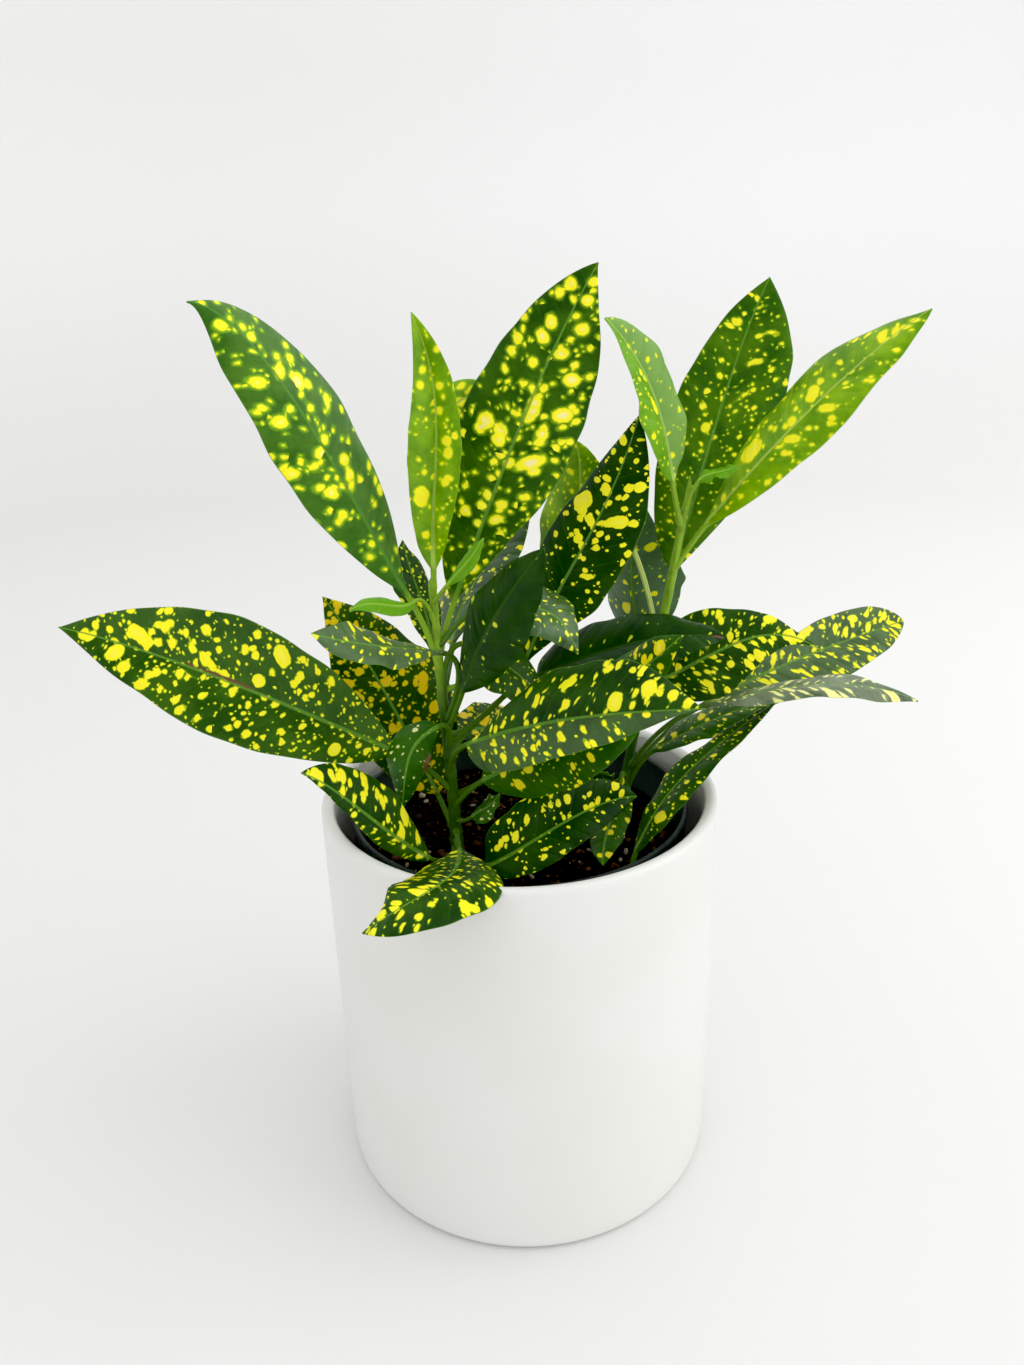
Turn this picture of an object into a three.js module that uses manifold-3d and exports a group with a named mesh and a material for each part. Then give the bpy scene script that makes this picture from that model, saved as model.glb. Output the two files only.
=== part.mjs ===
// A potted croton: a white glazed pot with a plastic growing pot inside it, soil,
// two rooted cuttings and their spotted leaves. Millimetres, +Z up, the origin at the
// middle of the pot's flat base, and -Y towards the side the plant is looked at from.
import * as THREE from 'three';
import { mergeVertices } from 'three/addons/utils/BufferGeometryUtils.js';
import Module from 'manifold-3d';

const manifold = await Module();
manifold.setup();

// ---------------------------------------------------------------- driving dimensions
const GAP = 0.3;                     // left between two pieces that touch
const POT_RADIUS = 64;               // outside of the glazed pot at its rim
const POT_FOOT_RADIUS = 63.6;        // outside of the glazed pot just above its foot
const POT_HEIGHT = 132;
const POT_WALL = 3.5;
const POT_FLOOR = 5;
const POT_FOOT_ROUND = 3;            // rounding between the wall and the flat base
const POT_SIDES = 64;
const CORNER_STEPS = 4;              // flats in a quarter-round corner of a turned profile
const LIP_STEPS = 6;                 // flats over the rounded rim

const LINER_RIM_RADIUS = 54.4;       // outside of the growing pot's rim
const LINER_RIM_TOP = 127.2;
const LINER_RIM_HEIGHT = 8;
const LINER_RIM_STEP = 1.6;          // how far the rim stands out from the wall below it
const LINER_FOOT_RADIUS = 43;
const LINER_WALL = 1.2;
const LINER_RIM_WALL = 1.6;          // thickness of the rim's top edge
const LINER_SIDES = 48;

const SOIL_TOP = 115;                // height of the soil round its edge
const SOIL_CROWN = 0.8;              // how much higher the soil is in the middle
const STEM_SIDES = 10;

const LEAF_THICKNESS = 0.7;
const LEAF_RING = 8;                 // corners in one section of a leaf
const PETIOLE_STEPS = 3;
const BLADE_STEPS = 10;
const PETIOLE_RADIUS = 0.9;
const SMALL_PETIOLE_RADIUS = 0.6;
const SMALL_LEAF_WIDTH = 11;         // leaves no wider than this have the thin petiole
const PETIOLE_BEND = 0.4;            // how far along itself a petiole follows its blade
const TIP_HALF_WIDTH = 0.3;
const TIP_HALF_THICKNESS = 0.2;
const NECK_SHARE = 0.7;              // of the petiole's radius, kept where the blade begins

// Stems: [x, y, z, radius] from 20 mm under the soil to the growing tip.
const STEMS = {
  left: [
    [-20.3, -12, 95, 1.9], [-20.5, -11.5, 116, 1.9], [-21.5, -10.5, 145, 1.7],
    [-23, -10, 173, 1.4], [-23.5, -10.5, 195, 1.1], [-24, -11, 203, 1], [-24, -11, 205, 0.4],
  ],
  right: [
    [35, 8, 95, 1.9], [35.2, 8.5, 116, 1.9], [36, 9.5, 127, 1.8], [38, 11, 140, 1.5],
    [43, 12.5, 160, 1.6], [49, 14, 190, 1.45], [53, 13.5, 215, 1.15], [54.5, 13, 223, 1.1],
    [54.8, 13, 229, 0.3],
  ],
};

// Blade outlines: the half width grows as t^base and falls as (1 - t)^tip.
const OUTLINES = {
  lance: { base: 0.8, tip: 0.9 },
  wedge: { base: 1.1, tip: 0.8 },
  oval: { base: 0.7, tip: 0.85 },
  blunt: { base: 0.9, tip: 0.45 },
};

// The direction that an unturned blade faces.
const FRONT = new THREE.Vector3(0, -0.95, 0.32).normalize();
const UP = new THREE.Vector3(0, 0, 1);

// Leaves: name, stem (or soil), height of the joint on it, then four points along the
// midrib from the base of the blade to its tip (at 0, 1/3, 2/3 and 1), full width,
// turn about the midrib and fold of each half in degrees, outline, and what it faces.
const LEAVES = [
  ['leaf_left_01', 'left', 177, [-31, -13, 201], [-44, -16, 230], [-62, -18, 265], [-82, -20, 283],
    29.5, -36, -10, 'wedge', FRONT],
  ['leaf_left_02', 'left', 201, [-23, -13, 209], [-21, -16, 235], [-19.6, -20, 257], [-24, -26, 279],
    17.5, -5, 35, 'oval', FRONT],
  ['leaf_left_03', 'left', 196, [-24, -1, 213], [-21, 7, 242], [-12, 10, 254.5], [0, 14, 246],
    13, 0, 0, 'lance', FRONT],
  ['leaf_left_04', 'left', 181, [-18, -4.5, 196.5], [-2, 0, 235], [12, 4, 265], [26, 6, 290],
    34.5, 0, 0, 'lance', FRONT],
  ['leaf_left_05', 'left', 159, [-21, -24, 187], [-31, -34, 192], [-41, -44, 197], [-52, -52, 203],
    17, -72, 4, 'lance', FRONT],
  ['leaf_left_06', 'left', 190, [-29, -16, 200], [-34, -20, 200], [-40, -24, 202], [-46, -27, 201],
    8, -50, 0, 'lance', FRONT],
  ['leaf_left_07', 'left', 198, [-19, -17, 205], [-14, -20, 211], [-11, -22, 215], [-8, -24, 220],
    7, 45, 0, 'lance', FRONT],
  ['leaf_left_08', 'left', 156, [-16, -19, 173], [-8, -32, 195], [0, -40, 210], [8, -46, 222],
    24, 36, 0, 'lance', FRONT],
  ['leaf_left_09', 'left', 188, [-26, 0, 180], [-28.5, 8, 191], [-32, 14, 200], [-35, 20, 210],
    17, -50, 0, 'lance', FRONT],
  ['leaf_left_10', 'left', 119, [-27, 0, 130], [-38, 8, 152], [-50, 16, 173], [-63, 24, 191],
    36, -18, 0, 'oval', FRONT],
  ['leaf_left_11', 'left', 145, [-17, 2, 149], [-9, 10, 147], [-1, 16, 146], [9, 22, 144],
    22, 40, 0, 'oval', FRONT],
  ['leaf_left_12', 'left', 136, [-36, -16, 152], [-67, -20, 170], [-101, -20, 186], [-132, -18, 196],
    35, -5, 0, 'lance', FRONT],
  ['leaf_left_13', 'left', 150, [-24, -17, 161], [-31, -22, 157], [-34, -24, 149], [-36, -22, 136],
    16, -7, -28, 'oval', FRONT],
  ['leaf_left_14', 'left', 117, [-28, -31, 124], [-41, -38.5, 140], [-51, -42, 152], [-60.5, -44, 159.8],
    15.4, -33, 0, 'oval', FRONT],
  ['leaf_left_15', 'left', 123, [-19, -26, 124], [-19.3, -52.5, 131.4], [-26.3, -72, 136.8],
    [-41, -80, 131.4], 28, 0, 0, 'oval', UP],
  ['leaf_left_16', 'left', 126, [-15, -17, 130], [-12, -19, 133], [-9, -21, 136], [-6, -21, 140],
    10, 60, 0, 'lance', FRONT],
  ['leaf_left_17', 'left', 167, [-20, 7, 179], [-16, 19, 190], [-7, 26, 202], [6, 34, 217],
    26, 42, 0, 'lance', FRONT],
  ['leaf_left_18', 'left', 130, [-11, -20, 144], [3, -27, 154], [19, -33, 162], [34, -36, 166],
    24, 24, -10, 'oval', FRONT],
  ['leaf_left_19', 'left', 143, [-15, -24, 158], [8, -40, 171], [29, -51, 178], [48, -59, 182],
    30.5, 32, 16, 'wedge', FRONT],
  ['leaf_left_20', 'left', 120, [-11, -33, 122], [1, -31, 127], [19, -22, 133], [37, -12, 133],
    22, 18, 18, 'oval', FRONT],
  ['leaf_left_21', 'left', 153, [3, 2, 174], [15, 5, 198], [27.5, 8, 220], [38.5, 9, 248],
    29, 28, 0, 'lance', FRONT],
  ['leaf_left_22', 'left', 184, [-1, -13, 198], [6, -15, 197], [12.5, -17, 194], [18.3, -18, 183.3],
    22.5, 45, 0, 'wedge', FRONT],
  ['leaf_left_23', 'left', 170, [15, 19, 188], [19, 25, 206], [22, 27, 223], [21, 29, 238.5],
    26, 36, 0, 'lance', FRONT],
  ['leaf_left_24', 'left', 166, [-14, -11, 185], [-7, -11, 181], [2, -10, 173], [11, -9, 163],
    22, 50, 0, 'lance', FRONT],
  ['leaf_left_25', 'left', 149, [7, 7, 167.5], [27, 4, 176], [47, 2, 181], [65, 0, 181],
    26.5, 48, 9, 'wedge', FRONT],
  ['leaf_left_26', 'left', 134, [17, -17, 161], [28, -21, 172], [38, -25, 182], [47, -29, 192],
    18, 48, 0, 'lance', FRONT],
  ['leaf_right_01', 'right', 193, [52, 21, 197], [61, 25, 230], [70, 27, 261], [79, 27, 285],
    34.8, -8, 6, 'lance', FRONT],
  ['leaf_right_02', 'right', 199, [60, 12, 214], [79, 6, 239], [99, 2, 260.3], [118, 0, 275.5],
    27.2, 50, 0, 'wedge', FRONT],
  ['leaf_right_03', 'right', 213, [49, 10, 228], [45.5, 8, 244], [39, 6, 260.5], [27.5, 2, 275.5],
    19, -36, 18, 'lance', FRONT],
  ['leaf_right_04', 'right', 219, [57, 10, 228], [60, 9, 230], [64, 8, 231], [68, 7, 233],
    6, 55, 0, 'lance', FRONT],
  ['leaf_right_05', 'right', 165, [42, 27, 170], [40, 31, 186], [40, 34, 200], [45, 36, 214],
    33, 36, -24, 'oval', FRONT],
  ['leaf_right_06', 'right', 176, [38, 14, 206], [34, 14, 216], [31, 15, 225], [28, 15, 234],
    10, 0, 0, 'lance', FRONT],
  ['leaf_right_07', 'right', 160, [47, 9, 164], [65.5, 12, 172.3], [82, 14, 176.8], [99.5, 15, 171],
    28, 15, 0, 'oval', FRONT],
  ['leaf_right_08', 'right', 130, [64, 22, 150], [89.5, 31, 158.5], [115, 39, 165], [137.5, 44, 170.5],
    24.8, 34, 0, 'blunt', FRONT],
  ['leaf_right_09', 'right', 132, [59, -6, 161], [79, -14, 169], [99, -18, 171.3], [119, -20, 166.2],
    19.5, 78, 0, 'lance', FRONT],
  ['leaf_right_10', 'right', 122, [45, 7, 140], [58, 6, 148], [73, 7, 154], [88, 8, 157],
    20, 70, 0, 'oval', FRONT],
  ['leaf_right_11', 'soil', 115.7, [35, -29, 123], [44, -23, 137], [58, -15.5, 148.4], [82, -3, 161],
    15.5, 64, 8, 'oval', FRONT],
  ['leaf_right_12', 'right', 127, [34, 4, 132], [31, -4, 126], [27, -16, 121], [25, -28, 118],
    12, 0, 0, 'lance', UP],
  ['leaf_right_13', 'right', 131, [32, 9, 128], [29, 8, 130], [27, 6, 132], [24, 4, 135],
    8, 55, 0, 'lance', FRONT],
];

// ---------------------------------------------------------------- materials
const glaze = () => new THREE.MeshStandardMaterial({ color: 0xeeeeea, roughness: 0.18, metalness: 0 });
const plastic = () => new THREE.MeshStandardMaterial({ color: 0x2c332f, roughness: 0.5, metalness: 0 });
const peat = () => new THREE.MeshStandardMaterial({ color: 0x1a1411, roughness: 0.95, metalness: 0 });
const bark = () => new THREE.MeshStandardMaterial({ color: 0x4f7a1c, roughness: 0.5, metalness: 0 });
const leafGreen = () => new THREE.MeshStandardMaterial({ color: 0x2f5a12, roughness: 0.35, metalness: 0 });

// ---------------------------------------------------------------- solids
function toSolid(geometry) {
  const bare = geometry.index ? geometry.clone() : geometry;
  bare.deleteAttribute('normal');
  bare.deleteAttribute('uv');
  const welded = mergeVertices(bare, 1e-4);
  const vertProperties = new Float32Array(welded.attributes.position.array);
  const triVerts = new Uint32Array(welded.index.array);
  return new manifold.Manifold(new manifold.Mesh({ numProp: 3, vertProperties, triVerts }));
}

function toGeometry(solid) {
  const { vertProperties, triVerts } = solid.getMesh();
  const geometry = new THREE.BufferGeometry();
  geometry.setAttribute('position', new THREE.BufferAttribute(vertProperties, 3));
  geometry.setIndex(new THREE.BufferAttribute(triVerts, 1));
  geometry.computeVertexNormals();
  return geometry;
}

// The largest body that is left when the given solids are cut away.
function cutBody(geometry, cutters) {
  const cut = cutters.reduce((solid, cutter) => solid.subtract(cutter), toSolid(geometry));
  const bodies = cut.decompose();
  bodies.sort((one, other) => other.volume() - one.volume());
  return toGeometry(bodies[0]);
}

function mesh(name, geometry, material) {
  const piece = new THREE.Mesh(geometry, material);
  piece.name = name;
  return piece;
}

// ---------------------------------------------------------------- pots and soil
function turned(profile, sides) {
  const points = profile.map(([radius, height]) => new THREE.Vector2(radius, height));
  const geometry = new THREE.LatheGeometry(points, sides);
  geometry.rotateX(Math.PI / 2);
  return geometry;
}

// Points on a quarter or half turn in the profile, from one angle to another in degrees.
function arc(radius, height, size, from, to, steps) {
  return Array.from({ length: steps + 1 }, (_, i) => {
    const angle = THREE.MathUtils.degToRad(from + (to - from) * i / steps);
    return [radius + size * Math.cos(angle), height + size * Math.sin(angle)];
  });
}

function glazedPot() {
  const lip = POT_WALL / 2;
  const inside = POT_FOOT_RADIUS - POT_WALL;
  const profile = [
    [0, 0],
    ...arc(POT_FOOT_RADIUS - POT_FOOT_ROUND, POT_FOOT_ROUND, POT_FOOT_ROUND, -90, 0, CORNER_STEPS),
    ...arc(POT_RADIUS - lip, POT_HEIGHT - lip, lip, 0, 180, LIP_STEPS),
    ...arc(inside - POT_FOOT_ROUND, POT_FLOOR + POT_FOOT_ROUND, POT_FOOT_ROUND, 0, -90, CORNER_STEPS),
    [0, POT_FLOOR],
  ];
  return mesh('glazed_pot', turned(profile, POT_SIDES), glaze());
}

const LINER_FOOT = POT_FLOOR + GAP;
const LINER_WALL_TOP = LINER_RIM_TOP - LINER_RIM_HEIGHT;
const LINER_TOP_RADIUS = LINER_RIM_RADIUS - LINER_RIM_STEP;

function growingPot() {
  const inner = LINER_TOP_RADIUS - LINER_WALL;
  const profile = [
    [0, LINER_FOOT],
    [LINER_FOOT_RADIUS, LINER_FOOT],
    [LINER_TOP_RADIUS, LINER_WALL_TOP],
    [LINER_RIM_RADIUS, LINER_WALL_TOP],
    [LINER_RIM_RADIUS, LINER_RIM_TOP],
    [LINER_RIM_RADIUS - LINER_RIM_WALL, LINER_RIM_TOP],
    [inner, LINER_WALL_TOP],
    [LINER_FOOT_RADIUS - LINER_WALL, LINER_FOOT + LINER_WALL],
    [0, LINER_FOOT + LINER_WALL],
  ];
  return mesh('growing_pot', turned(profile, LINER_SIDES), plastic());
}

function soil() {
  const bottom = LINER_FOOT + LINER_WALL + GAP;
  const slope = (LINER_TOP_RADIUS - LINER_FOOT_RADIUS) / (LINER_WALL_TOP - LINER_FOOT);
  const radiusAt = (height) => LINER_FOOT_RADIUS + slope * (height - LINER_FOOT) - LINER_WALL - 2 * GAP;
  const profile = [
    [0, bottom],
    [radiusAt(bottom), bottom],
    [radiusAt(SOIL_TOP), SOIL_TOP],
    [radiusAt(SOIL_TOP) / 2, SOIL_TOP + SOIL_CROWN],
    [0, SOIL_TOP + SOIL_CROWN],
  ];
  const roots = Object.keys(STEMS).map((name) => toSolid(stemGeometry(name, GAP)));
  return mesh('soil', cutBody(turned(profile, LINER_SIDES), roots), peat());
}

// ---------------------------------------------------------------- stems
function stemGeometry(name, allowance) {
  const stations = STEMS[name];
  const geometry = new THREE.CylinderGeometry(1, 1, 1, STEM_SIDES, stations.length - 1);
  const position = geometry.attributes.position;
  for (let i = 0; i < position.count; i += 1) {
    const station = Math.round((position.getY(i) + 0.5) * (stations.length - 1));
    const [x, y, z, radius] = stations[station];
    const side = radius + allowance;
    const end = station === 0 ? -allowance : station === stations.length - 1 ? allowance : 0;
    position.setXYZ(i, x + side * position.getX(i), y - side * position.getZ(i), z + end);
  }
  return geometry;
}

// The middle of a stem at a height.
function stemPoint(name, height) {
  const stations = STEMS[name];
  const next = stations.findIndex((station) => station[2] > height);
  const [low, high] = [stations[next - 1], stations[next]].map(([x, y, z]) => new THREE.Vector3(x, y, z));
  return low.lerp(high, (height - low.z) / (high.z - low.z));
}

// ---------------------------------------------------------------- leaves
// A cubic through four points, which it passes at 0, 1/3, 2/3 and 1.
class Midrib extends THREE.Curve {
  constructor(points) {
    super();
    this.points = points.map((point) => new THREE.Vector3(...point));
  }

  getPoint(t, target = new THREE.Vector3()) {
    const weights = [
      -4.5 * (t - 1 / 3) * (t - 2 / 3) * (t - 1),
      13.5 * t * (t - 2 / 3) * (t - 1),
      -13.5 * t * (t - 1 / 3) * (t - 1),
      4.5 * t * (t - 1 / 3) * (t - 2 / 3),
    ];
    target.set(0, 0, 0);
    weights.forEach((weight, i) => target.addScaledVector(this.points[i], weight));
    return target;
  }
}

function halfWidth(outline, width, t) {
  const { base, tip } = OUTLINES[outline];
  const widest = base / (base + tip);
  const share = (t / widest) ** base * ((1 - t) / (1 - widest)) ** tip;
  return Math.max(TIP_HALF_WIDTH, width / 2 * share);
}

// The part of a direction that is square to another, as a unit vector.
function squareTo(direction, along) {
  return direction.clone().addScaledVector(along, -direction.dot(along)).normalize();
}

// Half the thickness of a blade at t, which is as thick as its petiole where it begins.
function bladeDepth(t, petiole) {
  if (t === 0) return petiole;
  if (t === 1) return TIP_HALF_THICKNESS;
  return t < 1.5 / BLADE_STEPS ? petiole * NECK_SHARE : LEAF_THICKNESS / 2;
}

// The section of a blade at t: its middle, sideways and outward directions and half sizes.
function bladeSection(midrib, t, width, turn, fold, outline, facing, petiole) {
  const along = midrib.getTangent(t);
  const outward = squareTo(facing, along).applyAxisAngle(along, -THREE.MathUtils.degToRad(turn));
  const sideways = new THREE.Vector3().crossVectors(along, outward);
  const atBase = t === 0;
  return {
    middle: midrib.getPoint(t),
    sideways,
    outward,
    half: atBase ? petiole : halfWidth(outline, width, t),
    depth: bladeDepth(t, petiole),
    fold: atBase ? 0 : THREE.MathUtils.degToRad(fold),
  };
}

function petioleSection(path, t, base, radius) {
  const along = path.getTangent(t);
  const outward = squareTo(base.outward, along);
  const sideways = new THREE.Vector3().crossVectors(along, outward);
  return { middle: path.getPoint(t), sideways, outward, half: radius, depth: radius, fold: 0 };
}

// Where a leaf begins: in the middle of its stem, or on the soil for a shoot from below.
function leafStart(stem, joint, base) {
  return stem === 'soil' ? new THREE.Vector3(base.x - 1, base.y - 1, joint) : stemPoint(stem, joint);
}

function leafSections([, stem, joint, base, low, high, tip, width, turn, fold, outline, facing]) {
  const midrib = new Midrib([base, low, high, tip]);
  const petiole = width > SMALL_LEAF_WIDTH ? PETIOLE_RADIUS : SMALL_PETIOLE_RADIUS;
  const blade = Array.from({ length: BLADE_STEPS + 1 }, (_, i) => (
    bladeSection(midrib, i / BLADE_STEPS, width, turn, fold, outline, facing, petiole)
  ));
  const start = leafStart(stem, joint, blade[0].middle);
  const reach = start.distanceTo(blade[0].middle) * PETIOLE_BEND;
  const bend = blade[0].middle.clone().addScaledVector(midrib.getTangent(0), -reach);
  const path = new THREE.QuadraticBezierCurve3(start, bend, blade[0].middle);
  const stalk = Array.from({ length: PETIOLE_STEPS }, (_, i) => (
    petioleSection(path, i / PETIOLE_STEPS, blade[0], petiole)
  ));
  return [...stalk, ...blade];
}

// A cylinder whose rings are moved onto the leaf's sections, flattened along the blade.
function leafGeometry(row) {
  const sections = leafSections(row);
  const geometry = new THREE.CylinderGeometry(1, 1, 1, LEAF_RING, sections.length - 1);
  const position = geometry.attributes.position;
  const point = new THREE.Vector3();
  for (let i = 0; i < position.count; i += 1) {
    const section = sections[Math.round((position.getY(i) + 0.5) * (sections.length - 1))];
    const across = section.half * position.getX(i);
    const sideways = across * Math.cos(section.fold);
    const outward = Math.abs(across) * Math.sin(section.fold) + section.depth * position.getZ(i);
    point.copy(section.middle);
    point.addScaledVector(section.sideways, sideways);
    point.addScaledVector(section.outward, outward);
    position.setXYZ(i, point.x, point.y, point.z);
  }
  return geometry;
}

// ---------------------------------------------------------------- the whole plant
const croton = new THREE.Group();
croton.add(glazedPot(), growingPot(), soil());
Object.keys(STEMS).forEach((name) => croton.add(mesh(`stem_${name}`, stemGeometry(name, 0), bark())));
const clearances = Object.keys(STEMS).map((name) => toSolid(stemGeometry(name, GAP)));
LEAVES.forEach((row) => croton.add(mesh(row[0], cutBody(leafGeometry(row), clearances), leafGreen())));

export default croton;
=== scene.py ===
"""A potted croton: a white glazed pot, a plastic growing pot with soil, and two rooted
cuttings with yellow-spotted leaves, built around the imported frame. Sizes are in
millimetres until a mesh is made, +Z is up, and -Y is the side the plant is seen from."""

import math
from dataclasses import dataclass

import bpy
import numpy as np
from mathutils import Matrix, Vector


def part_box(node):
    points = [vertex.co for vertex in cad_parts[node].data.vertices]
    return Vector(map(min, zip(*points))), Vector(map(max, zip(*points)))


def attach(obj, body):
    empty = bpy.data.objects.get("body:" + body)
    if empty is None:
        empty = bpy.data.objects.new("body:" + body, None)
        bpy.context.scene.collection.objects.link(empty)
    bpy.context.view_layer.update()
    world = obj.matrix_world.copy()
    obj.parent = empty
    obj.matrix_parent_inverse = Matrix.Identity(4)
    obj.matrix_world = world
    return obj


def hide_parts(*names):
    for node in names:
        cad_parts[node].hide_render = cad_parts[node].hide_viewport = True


bl_info = {
    "name": "Potted Croton",
    "version": (1, 0, 0),
    "blender": (4, 5, 0),
    "location": "View3D > Sidebar > Croton",
    "description": "Builds a potted spotted croton around its packed frame",
    "category": "Add Mesh",
}

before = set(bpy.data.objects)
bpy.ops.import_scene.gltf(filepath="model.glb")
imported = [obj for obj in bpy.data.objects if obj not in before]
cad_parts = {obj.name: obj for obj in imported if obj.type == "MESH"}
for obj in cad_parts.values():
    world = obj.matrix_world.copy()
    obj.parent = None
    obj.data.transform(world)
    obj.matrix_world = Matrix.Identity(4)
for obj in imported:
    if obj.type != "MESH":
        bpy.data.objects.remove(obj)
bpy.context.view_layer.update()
MM = 0.001
BODY = "root"


# ------------------------------------------------------------------ numbers and curves
def unit(vectors):
    """Each vector over its own length."""
    return vectors / np.linalg.norm(vectors, axis=-1, keepdims=True)


def square_to(direction, along):
    """The part of a direction that is square to another, as a unit vector."""
    share = np.sum(direction * along, axis=-1, keepdims=True)
    return unit(direction - share * along)


def smooth_step(values, low, high):
    """0 up to low, 1 from high on, and 3s^2 - 2s^3 between them."""
    share = np.clip((values - low) / (high - low), 0, 1)
    return share * share * (3 - 2 * share)


def eased(count, pull):
    """Numbers from 0 to 1, closer together at both ends: s minus pull times sin(2 pi s)."""
    s = np.linspace(0, 1, count)
    return s - pull * np.sin(2 * np.pi * s)


def cubic(points, t):
    """The cubic through four points at 0, 1/3, 2/3 and 1, and its direction. Each point's weight is the
    product of t less each of the other three places, over what that product is at its own place."""
    low, middle, high, top = (np.array(point, float) for point in points)
    a, b = t[:, None] - 1 / 3, t[:, None] - 2 / 3
    s, c = t[:, None], t[:, None] - 1
    place = (
        -4.5 * a * b * c * low + 13.5 * s * b * c * middle - 13.5 * s * a * c * high
        + 4.5 * s * a * b * top)
    slope = (
        -4.5 * (b * c + a * c + a * b) * low
        + 13.5 * (b * c + s * c + s * b) * middle
        - 13.5 * (a * c + s * c + s * a) * high
        + 4.5 * (a * b + s * b + s * a) * top
    )
    return place, unit(slope)


def bezier(start, bend, end, t):
    """The quadratic curve (1-s)^2 start + 2s(1-s) bend + s^2 end, and its direction."""
    s = t[:, None]
    place = (1 - s) ** 2 * start + 2 * s * (1 - s) * bend + s * s * end
    return place, unit((1 - s) * (bend - start) + s * (end - bend))


def spline(points, count):
    """A curve through every point (Catmull-Rom): each stretch leans towards its neighbours."""
    p = np.vstack([2 * points[0] - points[1], points, 2 * points[-1] - points[-2]])
    at = np.linspace(0, len(points) - 1, count)
    i = np.minimum(at.astype(int), len(points) - 2)
    s = (at - i)[:, None]
    a, b, c, d = p[i], p[i + 1], p[i + 2], p[i + 3]
    return 0.5 * (2 * b + (c - a) * s + (2 * a - 5 * b + 4 * c - d) * s**2 + (3 * b - a - 3 * c + d) * s**3)


def ripple(t, rng, waves):
    """A sum of sines of t with the given counts of waves, of random phase and falling height."""
    total = np.zeros_like(t)
    for order, count in enumerate(waves):
        total = total + rng.uniform(0.5, 1) / (order + 1) * np.sin(2 * np.pi * (count * t + rng.uniform()))
    return total


# ------------------------------------------------------------------ meshes
def tube_faces(rows, columns, capped):
    """The quads of a grid that closes round its columns, and fans to a point past each end."""
    i, j = np.meshgrid(np.arange(rows - 1), np.arange(columns), indexing="ij")
    k = (j + 1) % columns
    quads = np.stack([i * columns + j, i * columns + k, (i + 1) * columns + k, (i + 1) * columns + j], -1)
    faces = quads.reshape(-1, 4).tolist()
    if capped:
        ring, after = np.arange(columns), (np.arange(columns) + 1) % columns
        first, last = rows * columns, rows * columns + 1
        foot = np.stack([after, ring, np.full(columns, first)], -1)
        head = np.stack([ring, after, np.full(columns, last)], -1) + [
            (rows - 1) * columns, (rows - 1) * columns, 0]
        faces += foot.tolist() + head.tolist()
    return faces


def volume(points, faces):
    """Six times the signed volume: the sum of the triple products of each face's triangles."""
    total = 0.0
    for size in {len(face) for face in faces}:
        corners = points[np.array([face for face in faces if len(face) == size])]
        for k in range(1, size - 1):
            total += np.sum(corners[:, 0] * np.cross(corners[:, k], corners[:, k + 1]))
    return total


def smooth_object(name, points, faces, material):
    """A smooth mesh object in the scene, from points in millimetres."""
    mesh = bpy.data.meshes.new(name)
    mesh.from_pydata((points * MM).tolist(), [], faces)
    mesh.polygons.foreach_set("use_smooth", np.ones(len(mesh.polygons), bool))
    mesh.materials.append(material)
    mesh.update()
    made = bpy.data.objects.new(name, mesh)
    bpy.context.scene.collection.objects.link(made)
    return made


def make_piece(name, points, faces, material, nodes, values=None):
    """A smooth object that rides on the model's one body, with its faces outwards and named values for
    its points."""
    if volume(points, faces) < 0:
        faces = [face[::-1] for face in faces]
    piece = smooth_object(name, points, faces, material)
    for key, column in (values or {}).items():
        kind, field = ("FLOAT", "value") if column.ndim == 1 else ("FLOAT_VECTOR", "vector")
        attribute = piece.data.attributes.new(key, kind, "POINT")
        attribute.data.foreach_set(field, column.astype(np.float32).ravel())
    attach(piece, BODY)
    for node in nodes:
        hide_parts(node)
    return piece


def ring_grid(rings):
    """Rings as one list of points, with the middle of the first and of the last ring added."""
    return np.vstack([rings.reshape(-1, 3), rings[0].mean(0), rings[-1].mean(0)])


def turned(profile, sides):
    """A profile of (radius, height) carried round the upright axis: x = r cos a, y = r sin a, z = h."""
    profile = np.array(profile, float)
    angle = np.linspace(0, 2 * np.pi, sides, endpoint=False)
    radius, height = profile[:, :1], profile[:, 1:]
    return np.stack([radius * np.cos(angle), radius * np.sin(angle), height + 0 * angle], -1)


def arc(radius, height, size, start, end, steps):
    """Points round a corner of a profile, from one angle to another in degrees."""
    angle = np.radians(np.linspace(start, end, steps + 1))
    return np.stack([radius + size * np.cos(angle), height + size * np.sin(angle)], -1)


# ------------------------------------------------------------------ shader expressions
class Socket:
    """A number or colour in a material; arithmetic on it adds Math nodes."""

    def __init__(self, graph, socket):
        self.graph = graph
        self.socket = socket

    def math(self, operation, *others):
        return self.graph.add("Math", {"operation": operation}, dict(enumerate((self, *others))))

    def __add__(self, other):
        return self.math("ADD", other)

    def __mul__(self, other):
        return self.math("MULTIPLY", other)

    def __sub__(self, other):
        return self.math("SUBTRACT", other)

    def __rsub__(self, other):
        return self.graph.add("Math", {"operation": "SUBTRACT"}, {0: other, 1: self})

    def __truediv__(self, other):
        return self.math("DIVIDE", other)

    def __pow__(self, other):
        return self.math("POWER", other)

    def __abs__(self):
        return self.math("ABSOLUTE")

    __radd__ = __add__
    __rmul__ = __mul__

    def above(self, other):
        return self.math("GREATER_THAN", other)

    def most(self, other):
        return self.math("MAXIMUM", other)

    def sign(self):
        return self.math("SIGN")

    def step(self, low, high):
        """0 up to low, 1 from high on, smooth between."""
        settings = {"interpolation_type": "SMOOTHSTEP"}
        return self.graph.add("MapRange", settings, {"Value": self, "From Min": low, "From Max": high})

    def parts(self):
        """The three numbers of a vector."""
        node = self.graph.add("SeparateXYZ", None, {0: self}).socket.node
        return [Socket(self.graph, output) for output in node.outputs]


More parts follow.
